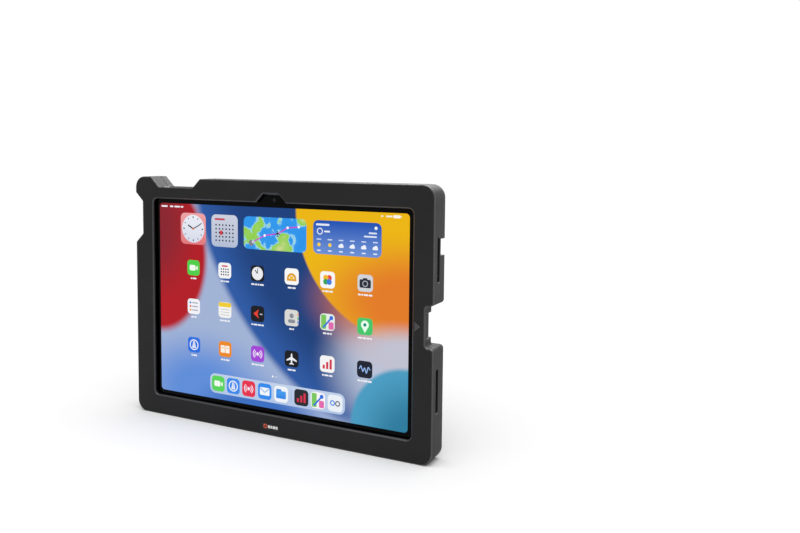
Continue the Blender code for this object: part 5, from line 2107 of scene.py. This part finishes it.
            d.bar((-4.0, 2.4), (0, -0.8), 0.6, "#4a8fe6", 3)
            d.bar((0, -0.8), (4.0, 2.4), 0.6, "#4a8fe6", 3)
        elif glyph is Glyph.FOLDER:
            d.plate(-2.0, 2.6, 4.6, 2.4, "#2f86e6", 0.6, 2)
            d.plate(0, -0.5, 9.0, 6.0, "#49a0f2", 0.8, 3, "#2f86e6")
        else:
            for side, ink in ((-1, "#2f86e6"), (1, "#5a6270")):
                d.arc(side * 2.2, 0, 1.7, 0.9, 0, 360, ink, 2)

    def tiles(self) -> list[tuple[Glyph, str, float, float]]:
        """Sign, colour and middle of every tile: three rows of six, and eight in the dock.

        Returns:
            The tiles, rows first.
        """
        rows = (
            ((Glyph.CALL, "#4fd14a"), (Glyph.DAYS, "#f6f7fa"), (Glyph.DIAL, "#15171c"),
             (Glyph.HANGAR, "#fbfbfa"), (Glyph.MOSAIC, "#fafafa"), (Glyph.CAMERA, "#d3d5da")),
            ((Glyph.LIST, "#f5f6fa"), (Glyph.NOTES, "#f7f7f4"), (Glyph.HEADING, "#14161d"),
             (Glyph.CARD, "#dcdcd8"), (Glyph.ROUTE, "#e9f1ec"), (Glyph.PIN, "#46c96c")),
            ((Glyph.RUNWAY, "#2a6fe2"), (Glyph.BOOK, "#ee8a1e"), (Glyph.RADIO, "#a445d8"),
             (Glyph.PLANE, "#15171d"), (Glyph.BARS, "#f7f7f8"), (Glyph.WAVE, "#1b2030")),
        )
        placed = []
        for row, signs in enumerate(rows):
            for column, (glyph, ink) in enumerate(signs):
                u = (column - 2.5) * self.column_pitch
                placed.append((glyph, ink, u, self.first_row - row * self.row_pitch))
        dock = (
            (Glyph.CALL, "#59d65a", -54.3), (Glyph.RUNWAY, "#3d8bee", -39.4),
            (Glyph.RADIO, "#e8304c", -24.4), (Glyph.ENVELOPE, "#2f8bf0", -9.1),
            (Glyph.FOLDER, "#f3f7fc", 6.1), (Glyph.BARS, "#23282e", 24.5),
            (Glyph.ROUTE, "#fafafa", 39.2), (Glyph.NOTE, "#eef3fa", 54.1),
        )
        placed += [(glyph, ink, u, self.dock_middle) for glyph, ink, u in dock]
        return placed

    def build_tiles(self) -> None:
        """Sets the rounded tiles by Geometry Nodes and draws the signs and the captions on them."""
        tiles = self.tiles()
        half = self.tile / 2
        shape = rounded(box(-half, half, -half, half, self.tile_radius), 0.0, 6)
        pattern = loft("tile_pattern", [(shape, -self.layer / 2), (shape, self.layer / 2)])
        plane = self.layout.glass_front - self.layer * 2.4
        places = [Vector((self.middle.x + u, plane, self.middle.z + v)) * MM for _, _, u, v in tiles]
        inks = [ink for _, ink, _, _ in tiles]
        made = self.repeater.copies("app_tiles", places, pattern, self.stock["lit"], inks)
        self.place(made, "display")
        signs = self.drawing()
        signs.plane -= self.layer * 1.2
        for glyph, _, u, v in tiles:
            signs.origin = self.middle + Vector((u, 0.0, v))
            self.sign(signs, glyph)
        self.show(signs, "app_signs")
        captions = self.drawing()
        for index, (_, _, u, v) in enumerate(tiles[:CAPTIONED_TILES]):
            lengths = [1.5 + 0.7 * ((index * 5 + dash * 3) % 4) for dash in range(2 + index % 3)]
            at = u - (sum(lengths) + 0.5 * (len(lengths) - 1)) / 2
            for length in lengths:
                captions.plate(at + length / 2, v - self.caption_drop, length, 1.25, "#f2f4fa", 0.35, 1)
                at += length + 0.5
        self.show(captions, "app_captions")

    def build_dock(self) -> None:
        """Dock plate, the mark between its two groups, page dots and the status marks."""
        d = self.drawing()
        d.plate(0.0, self.dock_middle, self.dock_width, self.dock_height, "#c3d3ec", 5.0, 1, "#b5c9ea")
        d.plate(15.3, self.dock_middle, 0.4, 10.0, "#96a8c8", 0.15, 2)
        d.disc(-1.6, -53.1, 0.75, "#ffffff", 1)
        d.disc(1.6, -53.1, 0.75, "#c8d0e2", 1)
        top = self.half_height - 2.6
        for across, width in ((-108.5, 6.4), (-101.0, 3.4), (-95.2, 5.6), (-90.2, 2.6)):
            d.plate(across, top, width, 1.3, "#f4f4f8", 0.4, 1)
        for across, width in ((92.0, 1.6), (97.6, 5.0)):
            d.plate(across, top, width, 1.2, "#f6f1e2", 0.4, 1)
        d.plate(103.6, top, 5.6, 2.2, "#fbf8ee", 0.7, 1)
        d.plate(107.0, top, 0.5, 1.0, "#fbf8ee", 0.2, 1)
        self.show(d, "dock_and_status")

    def build(self) -> None:
        """Makes the glass and all that it shows."""
        self.build_glass()
        self.build_clock()
        self.build_calendar()
        self.build_chart()
        self.build_forecast()
        self.build_dock()
        self.build_tiles()


# Studio.
@dataclass
class Studio:
    """Pale floor, soft lights and the camera. The lights stand so that the front stays dark."""

    camera_place: tuple[float, float, float] = (341.47, -520.85, 220.2)
    azimuth: float = 27.348
    dip: float = 4.055
    roll: float = 0.383
    lens: float = 36.047
    shift: tuple[float, float] = (0.05, -0.0706)
    floor_size: float = 60.0
    air: float = 0.3
    silk: float = 2.85
    silk_spread: float = 75.0
    lit_alone: bpy.types.Collection | None = None

    def build_camera(self) -> None:
        """Sets the camera."""
        data = bpy.data.cameras.new("camera")
        data.lens = self.lens
        data.sensor_width = 36.0
        data.shift_x, data.shift_y = self.shift
        data.clip_start = 0.01
        camera = bpy.data.objects.new("camera", data)
        camera.location = Vector(self.camera_place) * MM
        turn = Euler((math.radians(90 - self.dip), 0.0, math.radians(self.azimuth))).to_matrix()
        tilt = Euler((0.0, 0.0, math.radians(self.roll))).to_matrix()
        camera.rotation_euler = (turn @ tilt).to_euler()
        bpy.context.scene.collection.objects.link(camera)
        bpy.context.scene.camera = camera

    def build_floor(self, paper: Material) -> None:
        """Lays the seamless floor, stood on by the case's bottom edge."""
        half = self.floor_size / 2
        mesh = bpy.data.meshes.new("studio_floor")
        places = [(-half, -half, 0), (half, -half, 0), (half, half, 0), (-half, half, 0)]
        mesh.from_pydata(places, [], [(0, 1, 2, 3)])
        new_object("studio_floor", mesh, [paper])

    def softbox(
        self, name: str, place: Sequence[float], aim: Sequence[float], size: tuple[float, float],
        power: float
    ) -> None:
        """Hangs one soft rectangular light that is flagged off the floor.

        Args:
            name: the light's name.
            place: where it hangs, in metres.
            aim: what it points at.
            size: width and height, in metres.
            power: in watts.
        """
        data = bpy.data.lights.new(name, "AREA")
        data.shape = "RECTANGLE"
        data.size, data.size_y = size
        data.energy = power
        light = bpy.data.objects.new(name, data)
        light.location = place
        light.rotation_euler = (Vector(aim) - Vector(place)).to_track_quat("-Z", "Y").to_euler()
        light.visible_camera = False
        light.light_linking.receiver_collection = self.lit_alone
        bpy.context.scene.collection.objects.link(light)

    def build_lights(self) -> None:
        """Sets the sky, a broad top light and the softboxes round the back."""
        world = bpy.data.worlds.new("studio_air")
        world.use_nodes = True
        tree = world.node_tree
        tree.nodes.clear()
        path = add(tree, "ShaderNodeLightPath")
        soft, seen = [
            add(tree, "ShaderNodeBackground", {"Color": (1, 1, 1, 1), "Strength": strength}).outputs[0]
            for strength in (self.air, 1.0)]
        mixed = add(tree, "ShaderNodeMixShader", {0: path.outputs["Is Camera Ray"], 1: soft, 2: seen})
        add(tree, "ShaderNodeOutputWorld", {"Surface": mixed.outputs[0]})
        bpy.context.scene.world = world
        data = bpy.data.lights.new("overhead_silk", "SUN")
        data.energy = self.silk
        data.angle = math.radians(self.silk_spread)
        sun = bpy.data.objects.new("overhead_silk", data)
        sun.rotation_euler = (math.radians(12), math.radians(8), 0.0)
        sun.location = (0.0, 0.0, 2.0)
        bpy.context.scene.collection.objects.link(sun)
        aim = (0.0, 0.0, 0.1)
        self.softbox("back_left_strip", (-0.75, 1.25, 0.55), aim, (1.3, 0.5), 1.5)
        self.softbox("back_right_box", (1.5, 1.05, 0.6), aim, (1.2, 0.9), 17.0)
        self.softbox("back_box", (0.0, 1.7, 1.75), aim, (2.4, 1.3), 110.0)

    def build(self, paper: Material) -> None:
        """Sets up the studio and its plain colour rendering."""
        self.lit_alone = bpy.data.collections.new("lit_by_softboxes")
        for piece in [item for item in bpy.context.scene.objects if item.type == "MESH"]:
            self.lit_alone.objects.link(piece)
        self.build_floor(paper)
        self.build_lights()
        self.build_camera()
        bpy.context.scene.view_settings.view_transform = "Standard"


def main() -> None:
    """Builds the sub-assemblies in order."""
    logging.basicConfig(level=logging.INFO, format="%(name)s: %(message)s")
    layout = Layout.read(CaseShells.ear_rise)
    stock = Stock(Layout.middle("display_panel") * MM)
    kit = (layout, stock, Repeater())
    CaseShells(*kit).build()
    Fasteners(*kit).build()
    Trim(*kit).build()
    TabletBody(*kit).build()
    Screen(*kit).build()
    Studio().build(stock["paper"])


if __name__ == "__main__":
    main()
